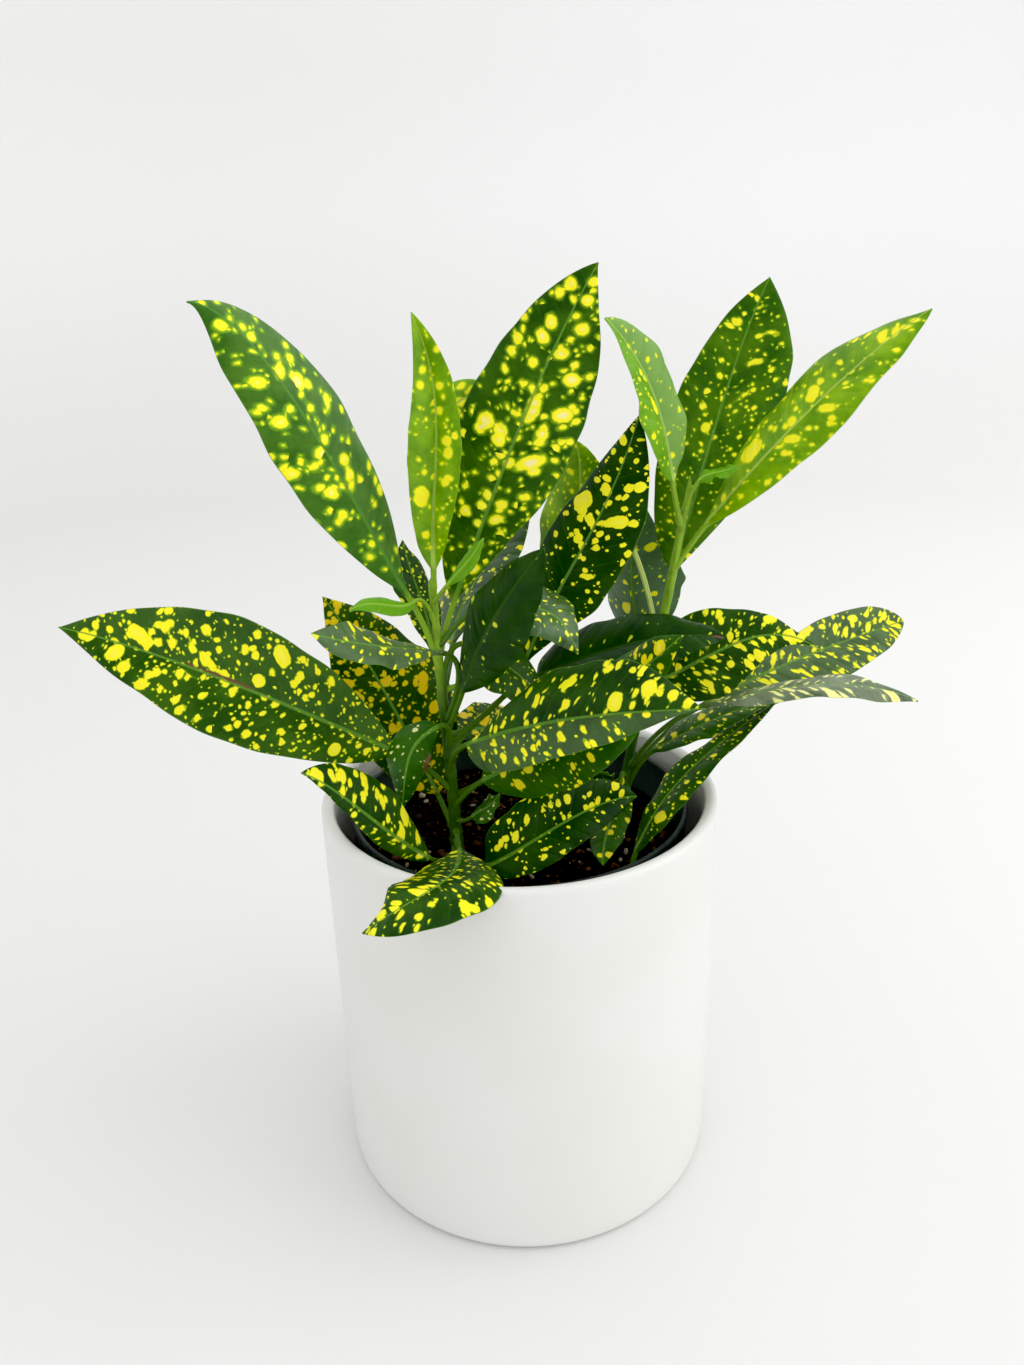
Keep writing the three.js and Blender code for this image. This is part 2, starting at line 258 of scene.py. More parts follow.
MIX_SHARE, MIX_FIRST, MIX_SECOND, MIX_COLOUR_OUT = 0, 6, 7, 2
NOISE_NUMBER, NOISE_COLOUR = 0, 1


def with_alpha(value):
    """A plain colour with its fourth number, and anything else as it is."""
    return (*value, 1) if isinstance(value, tuple) else value


class Graph:
    """The nodes of a material or of the world."""

    def __init__(self, owner):
        owner.use_nodes = True
        self.owner = owner
        self.tree = owner.node_tree
        self.tree.nodes.clear()

    def add(self, kind, settings=None, inputs=None, output=0):
        """Adds one node: its settings first, then the values or links of its sockets."""
        node = self.tree.nodes.new("ShaderNode" + kind)
        for key, value in (settings or {}).items():
            setattr(node, key, value)
        for key, value in (inputs or {}).items():
            if isinstance(value, Socket):
                self.tree.links.new(value.socket, node.inputs[key])
            else:
                node.inputs[key].default_value = value
        return Socket(self, node.outputs[output])

    def mix(self, share, first, second):
        """The first colour where share is 0 and the second where it is 1."""
        inputs = {MIX_SHARE: share, MIX_FIRST: with_alpha(first), MIX_SECOND: with_alpha(second)}
        return self.add("Mix", {"data_type": "RGBA"}, inputs, MIX_COLOUR_OUT)

    def coordinates(self, kind="Object"):
        return self.add("TexCoord", output=kind)

    def vector(self, x, y, z=0.0):
        return self.add("CombineXYZ", None, {0: x, 1: y, 2: z})

    def moved(self, place, offset):
        return self.add("VectorMath", {"operation": "ADD"}, {0: place, 1: offset})

    def noise(self, place, size, detail, output=NOISE_NUMBER, rough=0.5):
        """Soft noise from 0 to 1 whose lumps are about size across, in the units of place."""
        inputs = {"Vector": place, "Scale": 1 / size, "Detail": detail, "Roughness": rough}
        return self.add("TexNoise", None, inputs, output)

    def cells(self, place, size, flat=True):
        """The distance to the nearest of random points about size apart, and three random numbers of it."""
        settings = {"voronoi_dimensions": "2D" if flat else "3D"}
        distance = self.add("TexVoronoi", settings, {"Vector": place, "Scale": 1 / size})
        node = distance.socket.node
        return distance * size, Socket(self, node.outputs["Color"]).parts()

    def attribute(self, name):
        """A named value of the mesh's points, as a vector and as a number."""
        number = self.add("Attribute", {"attribute_name": name}, output="Fac")
        return Socket(self, number.socket.node.outputs["Vector"]), number

    def bump(self, height, strength, distance):
        return self.add("Bump", None, {"Height": height, "Strength": strength, "Distance": distance})

    def finish(self, colour, roughness, normal=None, **more):
        """Ends the graph in a Principled shader and returns its material. More sockets are named in small
        letters, with _ for a space."""
        inputs = {"Base Color": with_alpha(colour), "Roughness": roughness}
        for key, value in more.items():
            inputs[key.replace("_", " ").title().replace("Ior", "IOR")] = value
        if normal is not None:
            inputs["Normal"] = normal
        self.end(self.add("BsdfPrincipled", None, inputs), "OutputMaterial")
        return self.owner

    def end(self, surface, kind):
        """Links the last shader to the output of a material or of the world."""
        output = self.tree.nodes.new("ShaderNode" + kind)
        self.tree.links.new(surface.socket, output.inputs["Surface"])


def material_graph(name):
    """The empty graph of a new material."""
    return Graph(bpy.data.materials.new(name))


# ------------------------------------------------------------------ the pots and the soil
AXIS = 0.01          # the least radius of a turned profile, in place of the axis
POT_SIDES, LINER_SIDES = 160, 120
SOIL_SIDES, SOIL_RINGS = 150, 60


def glaze_material(colour):
    """White glaze: faint clouds in the white, a slow wave in the surface and a few specks."""
    g = material_graph("white_glaze")
    place = g.coordinates()
    cloud_size, grain_size, speck_spacing = 0.05, 0.0035, 0.013
    cloud = g.noise(place, cloud_size, 2)
    fine = g.noise(place, grain_size, 2)
    distance, chance = g.cells(place, speck_spacing, flat=False)
    speck = (1 - distance.step(0.00012, 0.0004)) * chance[0].above(0.9)
    warm = (0.98 * colour[0], 0.975 * colour[1], 0.955 * colour[2])
    tone = g.mix(cloud.step(0.35, 0.75), colour, warm)
    tone = g.mix(speck * (0.2 + 0.5 * chance[1]), tone, (0.15, 0.13, 0.1))
    return g.finish(tone, 0.3 + 0.04 * fine, g.bump(fine, 0.04, 0.0005), coat_weight=0.25, coat_roughness=0.2)


def glazed_pot(settings):
    """The glazed pot: a straight wall, a rounded rim and foot, and a shallow recess inside the foot ring. Its
    radius is scaled by one plus a small sum of sines of the angle and the height, so that it isn't quite
    round."""
    radius, height, wall = settings.radius / MM, settings.height / MM, settings.wall / MM
    foot_radius, lip, floor = radius - 0.4, wall / 2, 5.0
    recess, foot_ring, foot_round, inner_round, straight_from = 1.0, 12, 3.4, 4, 6
    heights = np.linspace(straight_from, height - straight_from, 24)
    outside = np.stack([foot_radius + (radius - foot_radius) * heights / height, heights], -1)
    inside = outside[::-1] - [wall, 0]
    profile = np.vstack([
        [[AXIS, recess], [20, recess], [foot_radius - foot_ring, recess]],
        [[foot_radius - 10, 0.6], [foot_radius - 9.4, 0.0]],
        arc(foot_radius - foot_round, foot_round, foot_round, -90, -4, 10),
        outside,
        arc(radius - lip, height - lip, lip, 0, 180, 18),
        inside,
        arc(foot_radius - wall - inner_round, floor + inner_round, inner_round, -4, -90, 8),
        [[20, floor], [AXIS, floor]],
    ])
    rings = turned(profile, POT_SIDES)
    angle = np.arctan2(rings[..., 1], rings[..., 0])
    upright = smooth_step(rings[..., 2], 4, 30)
    hand = 0.12 * np.sin(2 * angle + 0.6) + 0.08 * np.sin(3 * angle + 0.03 * rings[..., 2])
    rings[..., :2] *= (1 + upright * hand / radius)[..., None]
    faces = tube_faces(len(rings), POT_SIDES, True)
    return make_piece("glazed_pot_shell", ring_grid(rings), faces, glaze_material(tuple(settings.colour)),
                      ["glazed_pot"])


def plastic_material(colour):
    """Thin moulded plastic, dull green grey, with dust and faint scuffs."""
    g = material_graph("pot_plastic")
    place = g.coordinates()
    dust = g.noise(place, 0.006, 4, rough=0.7)
    pale = tuple(min(1.0, 2.4 * part + 0.01) for part in colour)
    tone = g.mix(dust.step(0.45, 0.8) * 0.5, colour, pale)
    return g.finish(tone, 0.38 + 0.25 * dust, g.bump(dust, 0.15, 0.0005), specular_ior_level=0.3)


def growing_pot(settings):
    """The growing pot: a tapered wall, a deep rim that stands out and a rolled edge. It is a little oval at
    its top, where the radius is scaled by one plus a small sine of twice the angle."""
    rim, top = settings.rim_radius / MM, settings.rim_top / MM
    wall, foot, floor, band = 1.1, 43.0, 5.3, 8.0
    profile = np.vstack([
        [[AXIS, floor], [foot - 2, floor]],
        arc(foot - 1.5, floor + 1.5, 1.5, -90, 0, 4),
        [[rim - 1.8, top - band - 0.4], [rim - 1.2, top - band], [rim - 0.5, top - band + 0.2]],
        arc(rim - 0.75, top - 0.75, 0.75, 0, 180, 8),
        [[rim - 1.7, top - band + 1], [rim - 1.9 - wall, top - band - 1]],
        [[foot - wall, floor + wall + 1], [foot - wall - 2, floor + wall], [AXIS, floor + wall]],
    ])
    rings = turned(profile, LINER_SIDES)
    angle = np.arctan2(rings[..., 1], rings[..., 0])
    upright = smooth_step(rings[..., 2], 60, top)
    rings[..., :2] *= (1 + upright * 0.35 * np.sin(2 * angle + 1.0) / rim)[..., None]
    faces = tube_faces(len(rings), LINER_SIDES, True)
    return make_piece("growing_pot_shell", ring_grid(rings), faces, plastic_material(tuple(settings.colour)),
                      ["growing_pot"])


def peat_material():
    """Moist peat: near-black crumbs with brown ones between, and dry fibres."""
    g = material_graph("moist_peat")
    place = g.coordinates()
    distance, chance = g.cells(place, 0.0022, flat=False)
    grain = g.noise(place, 0.0009, 4, rough=0.7)
    tone = g.mix(chance[0] * 0.8, (0.002, 0.0018, 0.0016), (0.012, 0.008, 0.005))
    tone = g.mix(grain.step(0.6, 0.75) * chance[1].above(0.75) * 0.7, tone, (0.06, 0.035, 0.02))
    height = (1 - distance * 600) * 0.6 + grain * 0.7
    return g.finish(tone, 0.75 + 0.2 * grain, g.bump(height, 0.8, 0.0012), specular_ior_level=0.1)


def soil_height(x, y):
    """The height of the soil: a low crown, half a millimetre times one minus the squared distance over
    50 mm squared, with lumps that are products and sums of sines of a few sizes."""
    lumps = 0.5 * np.sin(0.31 * x + 1.3) * np.cos(0.27 * y) + 0.35 * np.sin(0.83 * x + 0.57 * y)
    lumps = lumps + 0.25 * np.sin(1.7 * y - 1.1 * x + 2) + 0.16 * np.sin(3.1 * x + 2.3 * y)
    return 115.3 + 0.5 * (1 - (x * x + y * y) / 2500) + lumps * 0.8


def soil_bed():
    """The soil: a cone frustum whose top is a disc of rings lifted to the soil's height."""
    bottom, edge = 7.0, 114.0
    wall = turned([[AXIS, bottom], [42.4, bottom], [50.6, edge]], SOIL_SIDES)
    top = turned([[radius, edge] for radius in np.linspace(50.4, 0.4, SOIL_RINGS)], SOIL_SIDES)
    top[..., 2] = soil_height(top[..., 0], top[..., 1])
    rings = np.concatenate([wall, top])
    return make_piece("soil_bed", ring_grid(rings), tube_faces(len(rings), SOIL_SIDES, True), peat_material(),
                      ["soil"])


def crumb_material():
    """Loose bits on the soil: dark peat, brown bark and pale grit, told apart by their own shade."""
    g = material_graph("soil_bits")
    shade = g.attribute("shade")[1]
    place = g.coordinates()
    grain = g.noise(place, 0.0006, 3, rough=0.7)
    tone = g.mix(shade.step(0.0, 0.45), (0.003, 0.0025, 0.002), (0.13, 0.065, 0.03))
    tone = g.mix(shade.step(0.5, 0.95), tone, (0.6, 0.5, 0.38))
    tone = g.mix(grain * 0.5, tone, (0.006, 0.004, 0.003))
    return g.finish(tone, 0.85, g.bump(grain, 0.5, 0.0005), specular_ior_level=0.15)


CRUMB_SIDES, CRUMB_ROWS, NEAR_POLE = 6, 5, 1.45
DARK_BELOW, BROWN_BELOW = 0.72, 0.95
STREWN_RADIUS = 49.6


def crumb_points(count, rng):
    """Lumps: spheres of few faces, stretched, turned and dented at random, strewn over the soil."""
    angle = np.linspace(0, 2 * np.pi, CRUMB_SIDES, endpoint=False)
    rise = np.linspace(-np.pi / 2, np.pi / 2, CRUMB_ROWS)
    rise[0], rise[-1] = -NEAR_POLE, NEAR_POLE
    ball = np.stack([
        np.cos(rise)[:, None] * np.cos(angle), np.cos(rise)[:, None] * np.sin(angle),
        np.sin(rise)[:, None] + 0 * angle], -1)
    size = 0.35 + 1.1 * rng.random(count) ** 3
    stretch = rng.uniform(0.5, 1.3, (count, 3)) * size[:, None]
    dents = rng.uniform(0.75, 1.2, (count, CRUMB_ROWS, CRUMB_SIDES, 1))
    lumps = ball[None] * dents * stretch[:, None, None, :]
    turn = rng.uniform(0, 2 * np.pi, count)[:, None, None]
    x = lumps[..., 0] * np.cos(turn) - lumps[..., 1] * np.sin(turn)
    y = lumps[..., 0] * np.sin(turn) + lumps[..., 1] * np.cos(turn)
    reach, way = STREWN_RADIUS * np.sqrt(rng.random(count)), rng.uniform(0, 2 * np.pi, count)
    middle = np.stack([reach * np.cos(way), reach * np.sin(way)], -1)
    height = soil_height(middle[:, 0], middle[:, 1]) + 0.25 * size
    x, y = x + middle[:, 0, None, None], y + middle[:, 1, None, None]
    return np.stack([x, y, lumps[..., 2] + height[:, None, None]], -1)


def soil_crumbs(settings):
    """All the loose bits on the soil as one mesh."""
    rng = np.random.default_rng(11)
    count = settings.crumbs
    lumps = crumb_points(count, rng)
    kind, dark, pale = rng.random(count), 0.2 * rng.random(count), 0.75 + 0.3 * rng.random(count)
    shade = np.where(kind < DARK_BELOW, dark, np.where(kind < BROWN_BELOW, 0.45, pale))
    step = CRUMB_SIDES * CRUMB_ROWS + 2
    ends = [lumps[:, row].mean(1, keepdims=True) for row in (0, -1)]
    points = np.concatenate([lumps.reshape(count, -1, 3), *ends], 1)
    one = tube_faces(CRUMB_ROWS, CRUMB_SIDES, True)
    faces = [[corner + step * index for corner in face] for index in range(count) for face in one]
    return make_piece("soil_crumbs", points.reshape(-1, 3), faces, crumb_material(), [],
                      {"shade": np.repeat(shade, step)})


# ------------------------------------------------------------------ the stems
STEM_ROWS, STEM_SIDES = 150, 20
JOINT_SWELL, JOINT_LENGTH, JOINT_BELOW = 0.16, 1.1, 0.6

# Each stem's stations: x, y, z and radius.
STEMS = {
    "left": np.array([
        (-20.3, -12, 95, 1.9), (-20.5, -11.5, 116, 1.9), (-21.5, -10.5, 145, 1.7),
        (-23, -10, 173, 1.4), (-23.5, -10.5, 195, 1.1), (-24, -11, 203, 1.0), (-24, -11, 205.5, 0.4)]),
    "right": np.array([
        (35, 8, 95, 1.9), (35.2, 8.5, 116, 1.9), (36, 9.5, 127, 1.8), (38, 11, 140, 1.5),
        (43, 12.5, 160, 1.6), (49, 14, 190, 1.45), (53, 13.5, 215, 1.15), (54.5, 13, 223, 1.1),
        (54.8, 13, 229, 0.25)]),
}


def stem_at(stem, height):
    """The middle of a stem at a height, straight between its stations."""
    line = STEMS[stem]
    return np.array([np.interp(height, line[:, 2], line[:, axis]) for axis in range(3)])


def stem_material(fresh):
    """Green bark: darker and striped towards the foot, light and smooth towards the tip, dull joints."""
    g = material_graph("stem_green")
    place = g.coordinates()
    x, y, z = place.parts()
    streak = g.noise(g.vector(x * 3, y * 3, z * 0.25), 0.004, 4, rough=0.6)
    old_below, young_above = 0.16, 0.185
    rise = z.step(old_below, young_above)
    dark = 0.12 * fresh[0], 0.24 * fresh[1], 0.25 * fresh[2]
    tone = g.mix(rise, dark, fresh)
    tone = g.mix(streak.step(0.4, 0.75) * 0.5, tone, (0.2 * fresh[0], 0.36 * fresh[1], 0.3 * fresh[2]))
    scar = g.attribute("joint")[1]
    tone = g.mix(scar.step(0.3, 1.0) * 0.3, tone, (0.10, 0.16, 0.03))
    return g.finish(tone, 0.42, g.bump(streak, 0.35, 0.0006), specular_ior_level=0.2)


def stem_piece(stem, joints, material):
    """A stem: rings of the stated radii along its line, swollen at each joint with a leaf by a bell curve of
    the height, and with five low ridges, a sine of five times the angle."""
    line = spline(STEMS[stem], STEM_ROWS)
    angle = np.linspace(0, 2 * np.pi, STEM_SIDES, endpoint=False)
    swell = np.zeros(len(line))
    for joint in joints:
        swell += JOINT_SWELL * np.exp(-(((line[:, 2] - joint + JOINT_BELOW) / JOINT_LENGTH) ** 2))
    radius = line[:, 3] * (1 + 0.03 * np.sin(0.9 * line[:, 2])) + swell * (line[:, 3] > 0.8)
    ridges = 1 + 0.04 * np.sin(5 * angle + 0.05 * line[:, 2:3])
    rings = np.stack([
        line[:, 0:1] + radius[:, None] * ridges * np.cos(angle),
        line[:, 1:2] + radius[:, None] * ridges * np.sin(angle),
        line[:, 2:3] + 0 * angle], -1)
    joint_value = np.append(np.repeat(np.clip(swell / JOINT_SWELL, 0, 1), STEM_SIDES), [0, 0])
    faces = tube_faces(len(rings), STEM_SIDES, True)
    return make_piece("plant_stem_" + stem, ring_grid(rings), faces, material,
                      ["stem_" + stem], {"joint": joint_value})


# ------------------------------------------------------------------ the leaves
FRONT = (0.0, -0.948, 0.319)    # towards the camera
UP = (0.0, 0.0, 1.0)
BLADE_ROWS, STALK_ROWS, ACROSS = 120, 16, 36
FAR_OUTSIDE = 9.0
SIDE_VEIN = (0.8, 0.6)          # the way of a side vein: across the blade, along it
THICK_STALK, THIN_STALK, NARROW_LEAF = 0.85, 0.6, 11
SEED_STEP = 0.37                # sets the patterns of the leaves apart

# Outlines: the half width grows as t^base and falls as (1 - t)^tip. "a/b" is a for one half of the blade
# and b for the other.
OUTLINES = {
    "lance": (0.8, 0.9), "swell": (0.8, 0.92), "taper": (0.7, 1.05), "spear": (1.05, 0.92),
    "oval": (0.7, 0.85), "drawn": (0.5, 1.5), "blunt": (1.4, 0.5), "early": (0.5, 1.3),
    "slim": (0.9, 1.08), "willow": (1.1, 1.15), "spindle": (1.3, 1.2), "broad": (0.38, 0.75),
    "bluff": (0.8, 0.72),
}


@dataclass
class Leaf:
    """One leaf: the height of its joint with a stem, its midrib from base to tip, and how its blade lies.
    turn, fold and twist are degrees, wave is millimetres, arch a share of the half width, and lean says
    how much wider one half is than the other."""
    name: str
    stem: str
    joint: float
    midrib: tuple
    width: float
    turn: float
    fold: float
    outline: str
    look: str
    facing: tuple = FRONT
    twist: float = 0.0
    wave: float = 0.8
    arch: float = 0.10
    lean: float = 0.0


LEAVES = (
    Leaf("leaf_left_01", "left", 177, ((-31, -13, 201), (-44, -16, 230), (-62, -18, 265), (-82, -20, 283)),
         29.5, -36, -10, "spindle", "fresh", lean=0.07),
    Leaf("leaf_left_02", "left", 201, ((-23, -13, 209), (-21, -16, 235), (-19.6, -20, 257), (-24, -26, 279)),
         17.5, -5, 35, "oval", "lime", lean=-0.06),
    Leaf("leaf_left_03", "left", 196, ((-24, -1, 213), (-21, 7, 242), (-12, 10, 254.5), (0, 14, 246)),
         13, 0, 0, "lance", "lime"),
    Leaf("leaf_left_04", "left", 181, ((-18, -4.5, 196.5), (-2, 0, 235), (12, 4, 265), (26, 6, 290)),
         34.2, 0, 0, "oval/willow", "cream"),
    Leaf("leaf_left_05", "left", 159, ((-21, -24, 187), (-31, -34, 192), (-41, -44, 197), (-52, -52, 203)),
         17, -72, 4, "lance", "satin", twist=70),
    Leaf("leaf_left_06", "left", 190, ((-29, -16, 200), (-34, -20, 200), (-40, -24, 202), (-46, -27, 201)),
         8, -50, 0, "lance", "new", wave=0.15),
    Leaf("leaf_left_07", "left", 198, ((-19, -17, 205), (-14, -20, 211), (-11, -22, 215), (-8, -24, 220)),
         7, 45, 0, "lance", "new", wave=0.15),
    Leaf("leaf_left_08", "left", 156, ((-16, -19, 173), (-8, -32, 195), (0, -40, 210), (8, -46, 222)),
         23, 36, 0, "taper/lance", "plain", lean=0.12),
    Leaf("leaf_left_09", "left", 188, ((-26, 0, 180), (-28.5, 8, 191), (-32, 14, 200), (-35, 20, 210)),
         17, -50, 0, "lance", "speckled"),
    Leaf("leaf_left_10", "left", 119, ((-27, 0, 130), (-38, 8, 152), (-50, 16, 173), (-63, 24, 191)),
         36, -18, 0, "taper", "golden", lean=0.16),
    Leaf("leaf_left_11", "left", 145, ((-19, 4, 150), (-11, 11, 148), (-2, 17, 146), (9, 22, 144)),
         22, 40, 0, "oval", "golden"),
    Leaf("leaf_left_12", "left", 136, ((-36, -16, 152), (-67, -20, 170), (-101, -20, 186), (-132, -18, 196)),
         35.3, -5, 0, "slim/willow", "dotted", lean=0.06),
    Leaf("leaf_left_13", "left", 150, ((-24, -17, 161), (-31, -22, 157), (-34, -24, 149), (-36, -22, 136)),
         16, -7, -28, "oval", "torn", lean=0.15),
    Leaf("leaf_left_14", "left", 117,
         ((-28, -31, 124), (-41, -38.5, 140), (-51, -42, 152), (-60.5, -44, 159.8)),
         15.4, -33, 0, "early/oval", "dense", lean=0.4),
    Leaf("leaf_left_15", "left", 123,
         ((-19, -26, 124), (-19.3, -52.5, 131.4), (-26.3, -72, 136.8), (-41, -80, 131.4)),
         29, 0, 0, "spear/lance", "dense", UP, lean=-0.12),
    Leaf("leaf_left_16", "left", 126, ((-15, -17, 130), (-12, -19, 133), (-9, -21, 136), (-6, -21, 140)),
         10, 60, 0, "lance", "torn"),
    Leaf("leaf_left_17", "left", 167, ((-20, 7, 179), (-16, 19, 190), (-7, 26, 202), (6, 34, 217)),
         26, 42, 0, "lance", "shade"),
    Leaf("leaf_left_18", "left", 130, ((-11, -20, 144), (3, -27, 154), (19, -33, 162), (34, -36, 166)),
         24, 24, -10, "oval", "deep"),
    Leaf("leaf_left_19", "left", 143, ((-15, -24, 158), (8, -40, 171), (29, -51, 178), (48, -59, 182)),
         30.5, 32, 16, "spindle/early", "streaked", lean=-0.1),
    Leaf("leaf_left_20", "left", 120, ((-11, -33, 122), (1, -31, 127), (19, -22, 133), (37, -12, 133)),
         22, 18, 18, "oval", "bold", lean=-0.15),
    Leaf("leaf_left_21", "left", 153, ((3, 2, 174), (15, 5, 198), (27.5, 8, 220), (38.5, 9, 248)),
         29, 28, 0, "lance/spear", "bold", lean=0.06),
    Leaf("leaf_left_22", "left", 184, ((-1, -13, 198), (6, -15, 197), (12.5, -17, 194), (18.3, -18, 183.3)),
         22.5, 45, 0, "swell", "shade"),
    Leaf("leaf_left_23", "left", 170, ((15, 19, 188), (19, 25, 206), (22, 27, 223), (21, 29, 238.5)),
         27, 36, 0, "lance", "lime", lean=-0.08),
    Leaf("leaf_left_24", "left", 166, ((-14, -11, 185), (-7, -11, 181), (2, -10, 173), (11, -9, 163)),
         22, 50, 0, "lance", "speckled"),
    Leaf("leaf_left_25", "left", 149, ((7, 7, 167.5), (27, 4, 176), (47, 2, 181), (65, 0, 181)),
         26.5, 48, 9, "broad/spear", "plain"),
    Leaf("leaf_left_26", "left", 134, ((17, -17, 161), (28, -21, 172), (38, -25, 182), (47, -29, 192)),
         18, 48, 0, "lance", "deep", lean=-0.12),
    Leaf("leaf_right_01", "right", 193, ((52, 21, 197), (61, 25, 230), (70, 27, 261), (79, 27, 285)),
         35, -8, 6, "taper/spear", "olive", lean=0.13),
    Leaf("leaf_right_02", "right", 199, ((60, 12, 214), (79, 6, 239), (99, 2, 260.3), (118, 0, 275.5)),
         27.8, 50, 0, "willow/lance", "lime", lean=-0.12),
    Leaf("leaf_right_03", "right", 213, ((49, 10, 228), (45.5, 8, 244), (39, 6, 260.5), (27.5, 2, 275.5)),
         20, -36, 18, "lance/bluff", "pale", lean=-0.06),
    Leaf("leaf_right_04", "right", 219, ((57, 10, 228), (60, 9, 230), (64, 8, 231), (68, 7, 233)),
         7.5, 55, 0, "lance", "new"),
    Leaf("leaf_right_05", "right", 165, ((42, 27, 170), (40, 31, 186), (40, 34, 200), (45, 36, 214)),
         33, 36, -24, "oval", "cool"),
    Leaf("leaf_right_06", "right", 176, ((38, 14, 206), (34, 14, 216), (31, 15, 225), (28, 15, 234)),
         11.5, 0, 0, "lance", "stick"),
    Leaf("leaf_right_07", "right", 160, ((47, 9, 164), (65.5, 12, 172.3), (82, 14, 176.8), (99.5, 15, 171)),
         29, 15, 0, "drawn", "dense", lean=-0.08),
    Leaf("leaf_right_08", "right", 130,
         ((64, 22, 150), (89.5, 31, 158.5), (115, 39, 165), (137.5, 44, 170.5)),
         24.8, 34, 0, "blunt/bluff", "satin"),
    Leaf("leaf_right_09", "right", 132, ((59, -6, 161), (79, -14, 169), (99, -18, 171.3), (119, -20, 166.2)),
         19.5, 78, 0, "lance", "grey_painted_sheen", twist=-25),
    Leaf("leaf_right_10", "right", 122, ((45, 7, 140), (58, 6, 148), (73, 7, 154), (88, 8, 157)),
         20, 70, 0, "oval", "deep", lean=-0.2),
    Leaf("leaf_right_11", "soil", 115.7, ((35, -29, 123), (44, -23, 137), (58, -15.5, 148.4), (82, -3, 161)),
         15.5, 64, 8, "oval", "speckled", lean=0.15),
    Leaf("leaf_right_12", "right", 127, ((34, 4, 132), (31, -4, 126), (27, -16, 121), (25, -28, 118)),
         12, 0, 0, "lance", "deep", UP),
    Leaf("leaf_right_13", "right", 131, ((32, 9, 128), (29, 8, 130), (27, 6, 132), (24, 4, 135)),
         8, 55, 0, "lance", "new"),
)
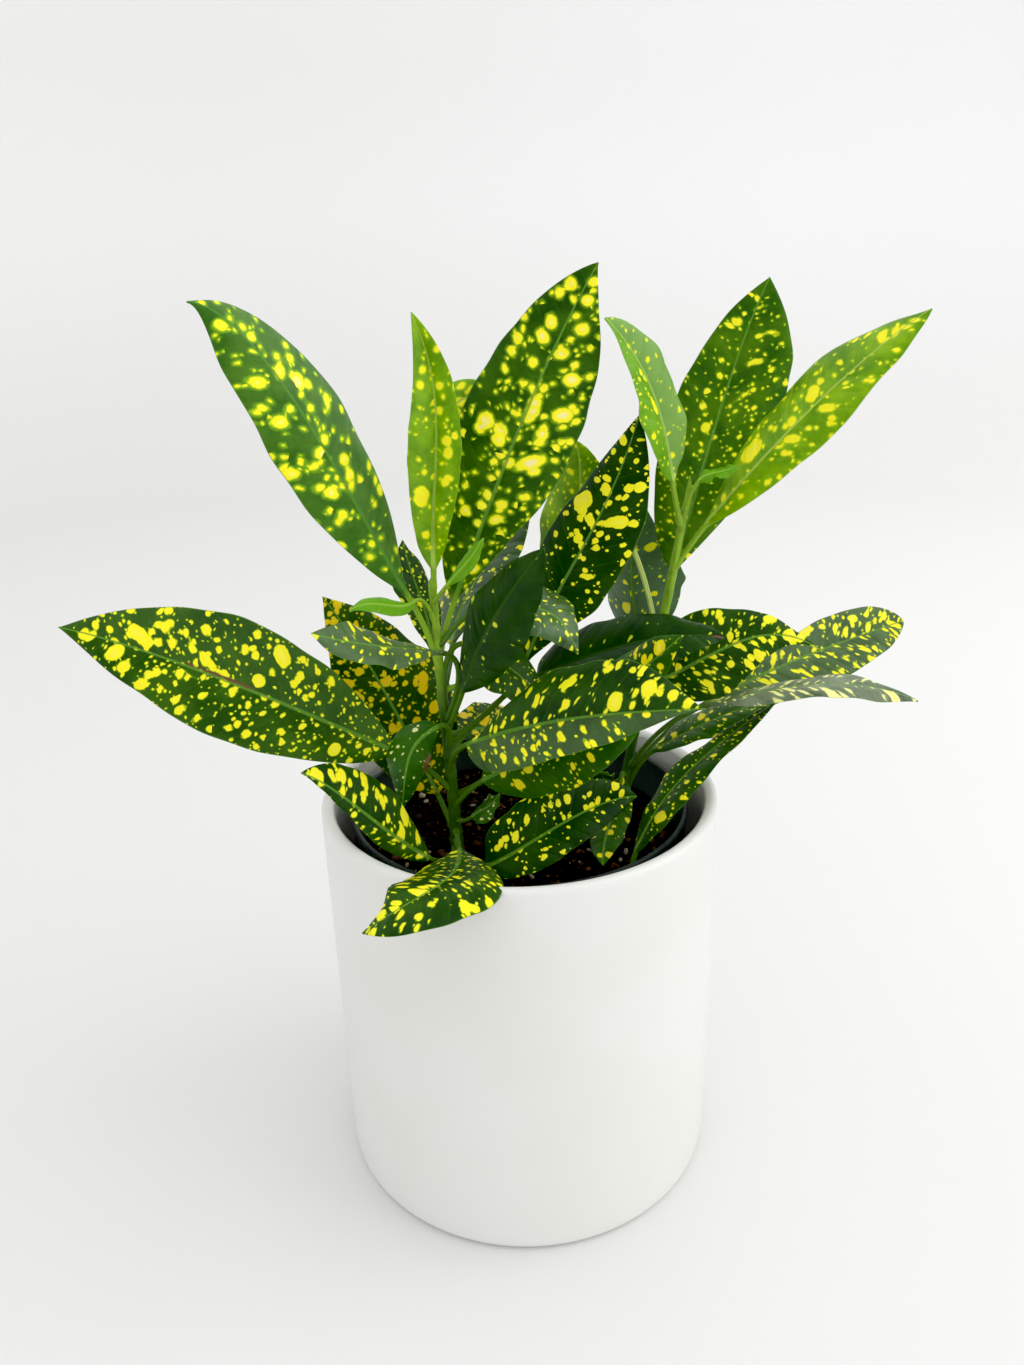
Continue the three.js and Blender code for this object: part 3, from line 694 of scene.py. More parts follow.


# The larger spots of the leaves whose spots the photograph shows well, as read from it: the place
# across (-1 to 1) and along (0 to 1) the blade, and the reach along the side veins and across them, in
# millimetres.
MARKS = {
    "leaf_left_01": (
        (-0.5, 0.67, 2.6, 1.6), (-0.55, 0.57, 2.3, 1.6), (0.12, 0.66, 2.0, 1.5), (0.1, 0.485, 1.7, 1.4),
        (0.27, 0.42, 1.9, 1.5), (0.2, 0.39, 1.9, 1.4), (0.13, 0.365, 1.6, 1.1), (-0.4, 0.375, 2.2, 1.6),
        (-0.45, 0.32, 1.5, 1.2), (-0.65, 0.305, 0.9, 0.8), (-0.4, 0.86, 1.6, 1.1), (-0.35, 0.84, 1.5, 1.1),
        (0.15, 0.765, 1.2, 1.1), (0.2, 0.8, 1.1, 0.9), (0.15, 0.84, 1.0, 0.8), (0.45, 0.6, 1.6, 1.5),
        (0.3, 0.64, 1.2, 1.1), (0.3, 0.69, 1.2, 1.0), (0.55, 0.67, 1.4, 1.2), (0.2, 0.59, 1.0, 0.9),
        (0.65, 0.56, 1.7, 1.3), (0.6, 0.54, 1.4, 1.1), (0.2, 0.55, 1.3, 1.1), (0.45, 0.53, 0.9, 0.9),
        (-0.2, 0.58, 1.2, 1.0), (-0.25, 0.45, 1.2, 1.1), (-0.6, 0.475, 1.0, 0.9), (-0.45, 0.44, 1.3, 1.1),
        (-0.3, 0.41, 0.9, 0.8), (-0.1, 0.4, 0.9, 0.9), (-0.08, 0.37, 1.1, 0.9), (0.85, 0.37, 1.4, 0.7),
        (0.85, 0.34, 1.3, 0.7), (-0.2, 0.22, 1.0, 0.8), (-0.6, 0.19, 1.2, 0.9), (0.8, 0.16, 0.9, 0.8),
        (-0.85, 0.61, 1.6, 0.9)),
    "leaf_left_02": (
        (-0.5, 0.29, 2.6, 1.9), (-0.55, 0.265, 2.4, 1.9), (0.45, 0.46, 1.7, 1.5), (0.4, 0.51, 1.5, 1.3),
        (0.45, 0.34, 1.5, 1.3), (0.15, 0.62, 1.3, 1.0), (0.3, 0.72, 1.2, 1.0), (0.4, 0.68, 0.8, 0.8),
        (0.45, 0.19, 1.3, 0.9), (-0.4, 0.13, 1.2, 1.0), (-0.4, 0.37, 0.9, 0.7), (-0.4, 0.8, 1.2, 1.0),
        (-0.6, 0.74, 1.2, 1.0)),
    "leaf_left_03": (
        (-0.2, 0.45, 2.4, 1.5), (0.1, 0.6, 1.8, 1.3), (0.4, 0.4, 1.5, 1.0), (-0.3, 0.7, 1.4, 1.0)),
    "leaf_left_04": (
        (0.42, 0.375, 4.5, 2.1), (0.6, 0.535, 3.2, 2.1), (0.08, 0.53, 1.9, 1.6), (0.1, 0.505, 2.1, 1.8),
        (0.08, 0.48, 1.8, 1.4), (-0.55, 0.43, 2.5, 2.1), (-0.6, 0.41, 2.0, 1.7), (-0.27, 0.42, 2.1, 1.9),
        (-0.25, 0.395, 2.0, 1.7), (0.4, 0.46, 1.9, 1.7), (0.42, 0.43, 1.8, 1.1), (0.55, 0.64, 2.3, 1.9),
        (-0.35, 0.775, 1.8, 1.5), (-0.33, 0.76, 1.7, 1.4), (-0.25, 0.64, 1.5, 1.4), (-0.75, 0.68, 1.7, 1.3),
        (-0.7, 0.635, 1.5, 1.2), (0.45, 0.795, 2.1, 1.8), (0.4, 0.88, 1.8, 1.5), (0.5, 0.94, 1.6, 1.2),
        (-0.6, 0.9, 1.9, 1.6), (-0.65, 0.855, 1.6, 1.4), (-0.95, 0.74, 1.1, 0.9), (-0.25, 0.565, 1.3, 1.1),
        (-0.5, 0.555, 0.9, 0.9), (-0.06, 0.57, 1.4, 1.0), (0.12, 0.575, 1.2, 1.1), (-0.12, 0.48, 1.2, 1.1),
        (-0.2, 0.345, 1.2, 1.1), (0.06, 0.35, 1.6, 1.3), (0.25, 0.245, 1.8, 1.6), (0.3, 0.205, 2.1, 1.5),
        (-0.12, 0.26, 1.7, 1.2), (0.6, 0.285, 1.8, 1.1), (0.45, 0.08, 1.7, 1.3), (-0.6, 0.26, 0.9, 0.8),
        (0.75, 0.455, 1.2, 1.0), (0.9, 0.465, 1.0, 0.9), (0.85, 0.6, 0.9, 0.8), (0.85, 0.67, 1.0, 0.9),
        (0.5, 0.68, 1.1, 1.0), (0.15, 0.82, 1.3, 0.8), (-0.5, 0.3, 0.9, 0.8)),
    "leaf_left_12": (
        (0.38, 0.775, 2.4, 1.9), (0.3, 0.755, 2.6, 1.9), (0.2, 0.735, 2.2, 1.6), (-0.35, 0.81, 2.9, 2.0),
        (-0.6, 0.775, 2.2, 1.6), (-0.05, 0.91, 1.9, 1.3), (-0.05, 0.89, 1.9, 1.2), (0.5, 0.885, 1.2, 1.1),
        (0.35, 0.84, 1.2, 1.1), (-0.8, 0.71, 2.0, 1.6), (-0.5, 0.7, 1.3, 1.2), (-0.35, 0.68, 1.5, 1.1),
        (-0.65, 0.66, 1.4, 1.1), (-0.4, 0.63, 1.3, 0.9), (-0.17, 0.62, 1.6, 1.0), (-0.2, 0.6, 1.5, 0.9),
        (-0.1, 0.57, 1.3, 0.7), (-0.8, 0.585, 1.8, 1.2), (-0.8, 0.54, 1.9, 0.9), (0.93, 0.71, 1.5, 1.3),
        (0.6, 0.72, 1.1, 1.0), (0.55, 0.7, 1.5, 1.3), (0.65, 0.69, 1.5, 0.9), (0.55, 0.65, 1.2, 0.9),
        (0.25, 0.7, 1.3, 1.2), (0.3, 0.675, 1.4, 1.3), (0.67, 0.605, 1.9, 1.3), (0.35, 0.63, 1.1, 0.8),
        (0.3, 0.615, 1.1, 0.8), (0.2, 0.575, 2.1, 1.6), (0.13, 0.56, 1.6, 1.3), (0.08, 0.52, 1.5, 1.3),
        (0.4, 0.55, 1.3, 1.2), (0.55, 0.49, 1.5, 1.0), (0.85, 0.485, 1.4, 1.3), (0.75, 0.45, 1.0, 0.8),
        (0.75, 0.41, 2.6, 2.1), (0.68, 0.4, 2.5, 2.1), (0.2, 0.43, 2.1, 2.0), (0.6, 0.345, 1.3, 1.1),
        (0.85, 0.35, 1.1, 0.9), (0.4, 0.35, 1.3, 0.9), (0.8, 0.27, 1.6, 1.2), (0.25, 0.31, 1.0, 1.0),
        (0.45, 0.25, 0.9, 0.8), (-0.15, 0.485, 1.4, 0.9), (-0.25, 0.43, 1.2, 1.0), (-0.1, 0.37, 1.1, 0.7),
        (-0.45, 0.49, 1.0, 0.8), (-0.75, 0.455, 1.3, 1.0), (-0.75, 0.405, 1.6, 1.3), (-0.5, 0.33, 1.3, 1.0),
        (-0.7, 0.32, 1.2, 0.9), (-0.6, 0.185, 2.0, 1.8), (-0.9, 0.375, 1.0, 0.8)),
    "leaf_left_14": (
        (0.62, 0.43, 1.7, 1.0), (0.57, 0.4, 1.8, 1.0), (0.5, 0.37, 1.6, 0.9), (0.3, 0.5, 1.6, 0.8),
        (0.85, 0.62, 0.9, 0.7), (0.45, 0.73, 1.4, 0.8), (0.15, 0.66, 1.8, 0.7), (0.1, 0.56, 1.8, 0.6),
        (0.45, 0.64, 1.1, 0.5), (0.65, 0.53, 1.3, 0.5), (0.3, 0.9, 1.6, 1.3), (0.4, 0.22, 1.3, 0.5),
        (0.1, 0.2, 1.6, 0.9), (0.3, 0.31, 1.4, 0.5), (-0.6, 0.5, 1.1, 1.0)),
    "leaf_left_15": (
        (-0.8, 0.62, 2.2, 1.2), (-0.93, 0.53, 2.0, 1.0), (-0.9, 0.6, 1.6, 1.0), (-0.95, 0.38, 1.2, 1.0),
        (-0.2, 0.42, 1.5, 0.8), (-0.12, 0.3, 1.4, 0.6), (0.15, 0.5, 1.3, 0.9), (0.08, 0.56, 1.8, 0.8),
        (-0.6, 0.78, 1.3, 1.0), (0.3, 0.8, 1.5, 1.0), (0.2, 0.9, 1.3, 1.0), (0.1, 0.83, 1.4, 0.9),
        (0.9, 0.3, 0.9, 0.7), (-0.4, 0.7, 1.5, 0.7), (-0.5, 0.5, 1.4, 0.6), (-0.6, 0.44, 1.2, 0.5)),
    "leaf_left_19": (
        (-0.2, 0.63, 2.7, 2.0), (-0.15, 0.61, 2.0, 1.6), (-0.5, 0.76, 2.7, 1.9), (-0.68, 0.44, 2.4, 1.3),
        (-0.6, 0.42, 2.2, 1.2), (-0.27, 0.425, 1.8, 1.2), (-0.55, 0.865, 1.7, 1.5), (-0.4, 0.93, 2.0, 1.1),
        (-0.8, 0.59, 1.9, 1.1), (-0.94, 0.575, 1.2, 0.8), (-0.8, 0.69, 1.1, 1.0), (-0.45, 0.81, 1.5, 0.9),
        (-0.12, 0.69, 1.4, 0.8), (0.2, 0.75, 1.5, 0.9), (0.35, 0.59, 1.7, 0.7), (0.4, 0.51, 1.8, 0.9),
        (0.85, 0.53, 1.9, 0.8), (0.5, 0.42, 2.0, 0.8), (-0.25, 0.13, 1.5, 0.8), (-0.1, 0.26, 1.2, 0.8),
        (-0.8, 0.28, 1.6, 0.8), (0.8, 0.25, 1.7, 0.7), (0.3, 0.3, 1.4, 0.5), (0.25, 0.22, 1.3, 0.4),
        (0.5, 0.15, 1.3, 0.4), (0.4, 0.35, 1.4, 0.4), (0.7, 0.12, 1.2, 0.4)),
    "leaf_left_20": (
        (-0.35, 0.32, 2.1, 1.1), (-0.5, 0.41, 1.7, 0.9), (-0.4, 0.22, 1.4, 0.9), (-0.5, 0.62, 1.5, 1.1),
        (-0.5, 0.54, 1.5, 0.7), (-0.55, 0.5, 1.2, 0.6), (-0.04, 0.72, 1.6, 0.9), (-0.15, 0.76, 1.5, 0.8),
        (-0.4, 0.7, 1.0, 0.7), (-0.3, 0.9, 1.4, 1.0), (-0.1, 0.6, 1.3, 0.6), (-0.75, 0.57, 1.0, 0.7)),
    "leaf_left_21": (
        (-0.6, 0.68, 3.0, 2.2), (-0.72, 0.655, 2.3, 2.0), (-0.5, 0.64, 2.0, 1.6), (0.35, 0.65, 3.2, 1.5),
        (0.5, 0.66, 3.0, 2.0), (0.12, 0.63, 1.8, 0.8), (0.8, 0.68, 1.4, 1.1), (-0.15, 0.61, 2.2, 1.3),
        (-0.15, 0.74, 2.3, 1.5), (0.75, 0.8, 2.0, 1.6), (0.45, 0.78, 1.5, 1.4), (0.06, 0.705, 1.6, 0.9),
        (-0.6, 0.92, 2.0, 1.2), (-0.1, 0.86, 1.0, 0.9), (0.5, 0.87, 0.9, 0.8), (-0.7, 0.87, 1.1, 0.9),
        (-0.2, 0.53, 1.6, 1.4), (-0.4, 0.53, 1.0, 0.8), (-0.85, 0.59, 0.9, 0.8), (0.2, 0.56, 1.1, 0.9),
        (0.4, 0.59, 1.0, 1.0), (0.75, 0.59, 1.1, 0.7), (0.3, 0.535, 1.3, 0.9), (0.4, 0.74, 0.9, 0.8),
        (0.5, 0.71, 1.1, 0.9), (0.5, 0.42, 1.9, 0.9), (0.35, 0.41, 1.0, 0.5), (-0.6, 0.42, 0.8, 0.7)),
    "leaf_left_26": (
        (-0.3, 0.8, 2.4, 2.1), (-0.1, 0.66, 1.3, 1.1), (0.6, 0.75, 1.0, 0.9), (-0.8, 0.6, 1.4, 0.9)),
    "leaf_right_01": (
        (-0.2, 0.45, 1.8, 1.5), (-0.4, 0.505, 1.2, 1.0), (-0.9, 0.48, 1.0, 0.8), (-0.5, 0.39, 0.9, 0.7),
        (-0.15, 0.38, 0.9, 0.7), (0.4, 0.45, 1.0, 0.8), (0.5, 0.54, 1.1, 0.9), (0.3, 0.575, 1.4, 0.7),
        (0.22, 0.56, 1.2, 0.5), (0.27, 0.68, 1.6, 0.9), (0.38, 0.695, 1.4, 0.8), (0.25, 0.77, 0.9, 0.7),
        (0.5, 0.8, 1.0, 0.5), (0.65, 0.8, 0.8, 0.5), (-0.3, 0.61, 1.0, 0.7), (-0.4, 0.66, 0.9, 0.7),
        (-0.45, 0.8, 1.3, 0.9), (-0.55, 0.79, 1.2, 0.8), (-0.2, 0.9, 1.0, 0.7), (0.1, 0.87, 1.4, 0.4),
        (0.95, 0.65, 1.1, 0.9), (0.75, 0.77, 0.8, 0.6)),
    "leaf_right_02": (
        (-0.45, 0.28, 3.2, 2.6), (-0.5, 0.25, 3.2, 2.6), (-0.25, 0.52, 2.4, 1.9), (-0.22, 0.5, 2.2, 1.7),
        (0.4, 0.515, 2.9, 1.4), (0.3, 0.37, 2.7, 1.3), (0.15, 0.33, 1.3, 0.7), (-0.12, 0.41, 1.6, 1.3),
        (-0.45, 0.35, 1.1, 1.0), (0.6, 0.34, 1.0, 0.8), (0.45, 0.43, 0.9, 0.7), (0.7, 0.5, 1.2, 0.9),
        (0.7, 0.66, 1.3, 0.8), (-0.2, 0.6, 0.9, 0.8), (-0.6, 0.57, 0.8, 0.8), (0.8, 0.24, 0.9, 0.8),
        (-0.3, 0.8, 2.2, 1.5), (-0.1, 0.84, 2.0, 1.1), (0.05, 0.88, 1.8, 0.9), (0.05, 0.92, 1.5, 0.8),
        (-0.2, 0.1, 1.5, 0.8)),
    "leaf_right_03": (
        (-0.28, 0.53, 1.2, 0.9), (-0.25, 0.5, 1.3, 1.0), (-0.22, 0.47, 1.3, 1.0), (-0.2, 0.44, 1.1, 0.8),
        (-0.3, 0.68, 1.3, 1.0), (-0.1, 0.83, 0.9, 0.7), (-0.75, 0.34, 0.9, 0.8), (-0.4, 0.57, 0.9, 0.6),
        (0.3, 0.7, 0.6, 0.5)),
    "leaf_right_07": (
        (-0.8, 0.7, 1.9, 1.5), (-0.7, 0.68, 1.7, 1.4), (0.05, 0.82, 2.4, 1.7), (-0.1, 0.8, 2.2, 1.6),
        (-0.2, 0.88, 1.6, 1.3), (0.75, 0.57, 2.3, 1.7), (0.6, 0.5, 1.2, 1.1), (0.45, 0.36, 1.3, 1.1),
        (0.05, 0.46, 1.5, 1.1), (-0.2, 0.48, 1.1, 0.8), (-0.5, 0.52, 1.3, 0.7), (-0.8, 0.43, 1.6, 0.9),
        (-0.9, 0.37, 1.5, 0.7), (-0.35, 0.26, 0.9, 0.8), (0.6, 0.2, 1.6, 1.1), (0.8, 0.2, 1.0, 0.9),
        (0.25, 0.17, 1.2, 0.6), (0.4, 0.26, 1.0, 0.7), (0.2, 0.62, 1.0, 0.7), (0.2, 0.7, 1.1, 0.7),
        (0.4, 0.68, 0.9, 0.6)),
    "leaf_right_08": (
        (-0.6, 0.77, 2.0, 1.6), (-0.7, 0.62, 1.4, 1.2), (-0.25, 0.7, 2.4, 0.8), (-0.2, 0.82, 2.4, 0.8),
        (-0.45, 0.92, 2.1, 1.0), (0.05, 0.94, 2.6, 1.0), (-0.3, 0.86, 1.9, 0.6), (0.05, 0.63, 1.5, 0.6),
        (0.55, 0.73, 2.4, 0.9), (0.55, 0.63, 1.6, 0.6), (0.5, 0.48, 1.4, 0.9), (0.9, 0.45, 2.2, 0.8),
        (0.85, 0.58, 2.1, 0.6), (0.06, 0.32, 1.1, 1.0), (0.4, 0.3, 1.1, 0.8)),
}
# Brown scars, stated in the same way, that reach along the leaf.
SCARS = {
    "leaf_left_12": ((0.04, 0.52, 12.0, 0.55), (-0.55, 0.59, 2.5, 0.4)),
    "leaf_left_13": ((-0.85, 0.5, 7.0, 0.9),),
    "leaf_left_25": ((0.1, 0.95, 2.0, 0.7),),
}

# The blade: RAGGED and CUSHION are shares of its half width, the waves are counts along it, and the last
# three are places along it, from 0 to 1. The other numbers are millimetres.
RAGGED, RAGGED_WAVES, MARGIN_WAVES = 0.035, (2.3, 4.1, 7.3), (1.7, 3.1, 5.3)
LEAST_HALF_WIDTH, HALF_THICKNESS, CUSHION = 0.2, 0.2, 0.22
GROOVE_DEPTH, GROOVE_REACH = 0.28, 0.5
RIB_DEPTH, RIB_REACH, RIB_AT_TIP = 0.75, 0.8, 0.1
FLAT_FROM, FOLDED_FROM, TWIST_ABOUT = 0.09, 0.15, 0.3
# The stalk: its bend is a share of its span. The swelling near its foot and the groove on top are shares
# of its radius. FOOT_AT and FOOT_REACH are millimetres, STALK_GROOVE_REACH a share of the half width.
STALK_BEND, FOOT_SWELL, FOOT_AT, FOOT_REACH = 0.4, 0.45, 2, 1.6
STALK_GROOVE, STALK_GROOVE_REACH = 0.25, 0.35


def half_widths(leaf, t):
    """The two half widths of a blade at t: t^base (1 - t)^tip, scaled to be half the width at its widest."""
    names = leaf.outline.split("/")
    for name, share in ((names[0], 1 - leaf.lean), (names[-1], 1 + leaf.lean)):
        base, tip = OUTLINES[name]
        widest = base / (base + tip)
        yield share * leaf.width / 2 * ((t / widest) ** base * ((1 - t) / (1 - widest)) ** tip)[:, None]


def section_places():
    """Places across a leaf, -1 to 1 over the top and back underneath, closer at the midrib and margins."""
    s = np.linspace(-1, 1, ACROSS + 1)
    v = s - 0.12 * np.sin(2 * np.pi * s)
    return np.concatenate([v, v[-2:0:-1]]), np.concatenate([np.ones(ACROSS + 1), np.zeros(ACROSS - 1)])


def level(x, y, middle_x, middle_y, reach, breadth, way):
    """How far inside an ellipse a point is, in millimetres: one minus its scaled distance, times the lesser
    radius. The ellipse reaches along the unit vector way and is breadth wide, both to each side."""
    x, y = x - middle_x, y - middle_y
    scaled = np.hypot((x * way[0] + y * way[1]) / reach, (x * way[1] - y * way[0]) / breadth)
    return (1 - scaled) * min(reach, breadth)


def blade_rings(leaf, rng, radius):
    """The rings of a blade, the places of their points across it (x) and along it (y) in millimetres and
    as (v, t, top), and the ways outward and along at its base."""
    t = eased(BLADE_ROWS, 0.07)
    middle, along = cubic(leaf.midrib, t)
    outward = square_to(np.broadcast_to(leaf.facing, along.shape), along)
    across = np.cross(along, outward)
    turn = np.radians(leaf.turn + leaf.twist * (t - TWIST_ABOUT))[:, None]
    outward, across = (outward * np.cos(turn) - across * np.sin(turn),
                       across * np.cos(turn) + outward * np.sin(turn))
    v, top = section_places()
    taper = (4 * t * (1 - t))[:, None]
    ragged = [1 + RAGGED * taper * ripple(t, rng, RAGGED_WAVES)[:, None] for _ in range(2)]
    left, right = half_widths(leaf, t)
    width = np.where(v > 0, right * ragged[0], left * ragged[1])
    half = np.sqrt(width**2 + (radius * (1 - t[:, None])) ** 2 + LEAST_HALF_WIDTH**2)
    waves = [ripple(t, rng, MARGIN_WAVES)[:, None] for _ in range(2)]
    wave = leaf.wave * np.abs(v) ** 2.2 * np.sqrt(taper) * np.where(v > 0, *waves)
    fold = np.radians(leaf.fold) * smooth_step(t, 0, FOLDED_FROM)[:, None]
    size = np.abs(v)
    lift = size * half * np.sin(fold) + half * (CUSHION * (size - v * v) - leaf.arch * v * v) + wave
    flat = smooth_step(t, 0, FLAT_FROM)[:, None]
    round_part = radius * np.sqrt(np.clip(1 - v * v, 0, 1))
    x = v * half
    thin = HALF_THICKNESS * (1 - size**8)
    groove = GROOVE_DEPTH * np.exp(-((x / GROOVE_REACH) ** 2)) * (1 - t[:, None])
    ridge = (RIB_DEPTH * (1 - t[:, None]) + RIB_AT_TIP) * np.exp(-((x / RIB_REACH) ** 2))
    above = (1 - flat) * round_part + flat * (thin - groove)
    below = -(1 - flat) * round_part - flat * (thin + ridge)
    height = np.where(top > 0, above, below) + flat * lift
    sideways = x * np.cos(fold)
    rings = middle[:, None] + across[:, None] * sideways[..., None] + outward[:, None] * height[..., None]
    length = np.concatenate([[0], np.cumsum(np.linalg.norm(np.diff(middle, axis=0), axis=1))])
    y = length[:, None] + 0 * x
    place = np.stack([v + 0 * x, t[:, None] + 0 * x, top + 0 * x], -1)
    return rings, x, y, place, outward[0], along[0]


def stalk_rings(leaf, radius, outward, arriving):
    """The rings of a stalk along a quadratic curve from the stem's middle to the blade's base."""
    base = np.array(leaf.midrib[0], float)
    start = base + [-1, -1, leaf.joint - base[2]] if leaf.stem == "soil" else stem_at(leaf.stem, leaf.joint)
    reach = np.linalg.norm(base - start)
    t = np.linspace(0, 1, STALK_ROWS, endpoint=False)
    middle, along = bezier(start, base - STALK_BEND * reach * arriving, base, t)
    outward = square_to(np.broadcast_to(outward, along.shape), along)
    across = np.cross(along, outward)
    v, top = section_places()
    thick = radius * (1 + FOOT_SWELL * np.exp(-((t * reach - FOOT_AT) / FOOT_REACH) ** 2))[:, None]
    x = v * thick
    height = np.where(top > 0, 1, -1) * thick * np.sqrt(np.clip(1 - v * v, 0, 1))
    height = height - STALK_GROOVE * radius * np.exp(-((v / STALK_GROOVE_REACH) ** 2)) * (top > 0)
    rings = middle[:, None] + across[:, None] * x[..., None] + outward[:, None] * height[..., None]
    y = (t - 1)[:, None] * reach + 0 * x
    place = np.stack([v + 0 * x, (t - 1)[:, None] + 0 * x, top + 0 * x], -1)
    return rings, x, y, place


def leaf_piece(leaf, seed, material):
    """One leaf with its stalk: a ring at every station, closed at both ends."""
    rng = np.random.default_rng(seed)
    radius = THICK_STALK if leaf.width > NARROW_LEAF else THIN_STALK
    blade, x, y, place, outward, arriving = blade_rings(leaf, rng, radius)
    stalk, stalk_x, stalk_y, stalk_place = stalk_rings(leaf, radius, outward, arriving)
    rings = np.concatenate([stalk, blade])
    x, y = np.concatenate([stalk_x, x]), np.concatenate([stalk_y, y])
    place = np.concatenate([stalk_place, place])
    t = place[:, 0, 1]

    def patches(rows, way):
        """The level of the nearest of some ellipses, stated as (v, t, reach, breadth)."""
        total = np.full(x.shape, -FAR_OUTSIDE)
        for across_at, along_at, reach, breadth in rows:
            row = np.argmin(np.abs(t - along_at))
            middle_x = np.interp(across_at, place[row, :ACROSS + 1, 0], x[row, :ACROSS + 1])
            slant = way[0] * (1 if across_at > 0 else -1), way[1]
            total = np.maximum(total, level(x, y, middle_x, y[row, 0], reach, breadth, slant))
        return np.where(t[:, None] < 0, -FAR_OUTSIDE, total)

    def column(values):
        flat = values.reshape(-1, *values.shape[2:])
        return np.concatenate([flat, values[:1, 0], values[-1:, 0]])

    values = {
        "blade": column(np.stack([x, y, np.full(x.shape, SEED_STEP * seed)], -1)),
        "place": column(place),
        "mark": column(patches(MARKS.get(leaf.name, ()), SIDE_VEIN)),
        "scar": column(patches(SCARS.get(leaf.name, ()), (0, 1))),
    }
    faces = tube_faces(len(rings), rings.shape[1], True)
    return make_piece("croton_" + leaf.name, ring_grid(rings), faces, material,
                      [leaf.name], values)


@dataclass
class Look:
    """The colours and the spots of a kind of leaf. Colours are linear. pin, small and middle, times a slow
    noise about 1, are the shares of the places for a size of spot that hold one. soft and halo are
    millimetres, stretch is how much longer than wide a spot is, and the two shares of painted sheen say
    how much grey, a painted reflection, is laid on each half."""
    stalk: tuple = (0.07, 0.17, 0.01)
    dark: tuple = (0.010, 0.055, 0.002)
    light: tuple = (0.030, 0.115, 0.006)
    spot: tuple = (0.98, 0.90, 0.02)
    heart: tuple = (0.98, 0.89, 0.07)
    glow: tuple = (0.22, 0.42, 0.006)
    vein: tuple = (0.13, 0.30, 0.03)
    # The shares of grey painted sheen on each half of the blade, a painted reflection.
    painted_sheen: tuple = (0.0, 0.0)
    pin: float = 0.3
    small: float = 0.4
    middle: float = 0.15
    soft: float = 0.25
    halo: float = 0.3
    stretch: float = 1.25
    rough: float = 0.36
    shine: float = 0.15


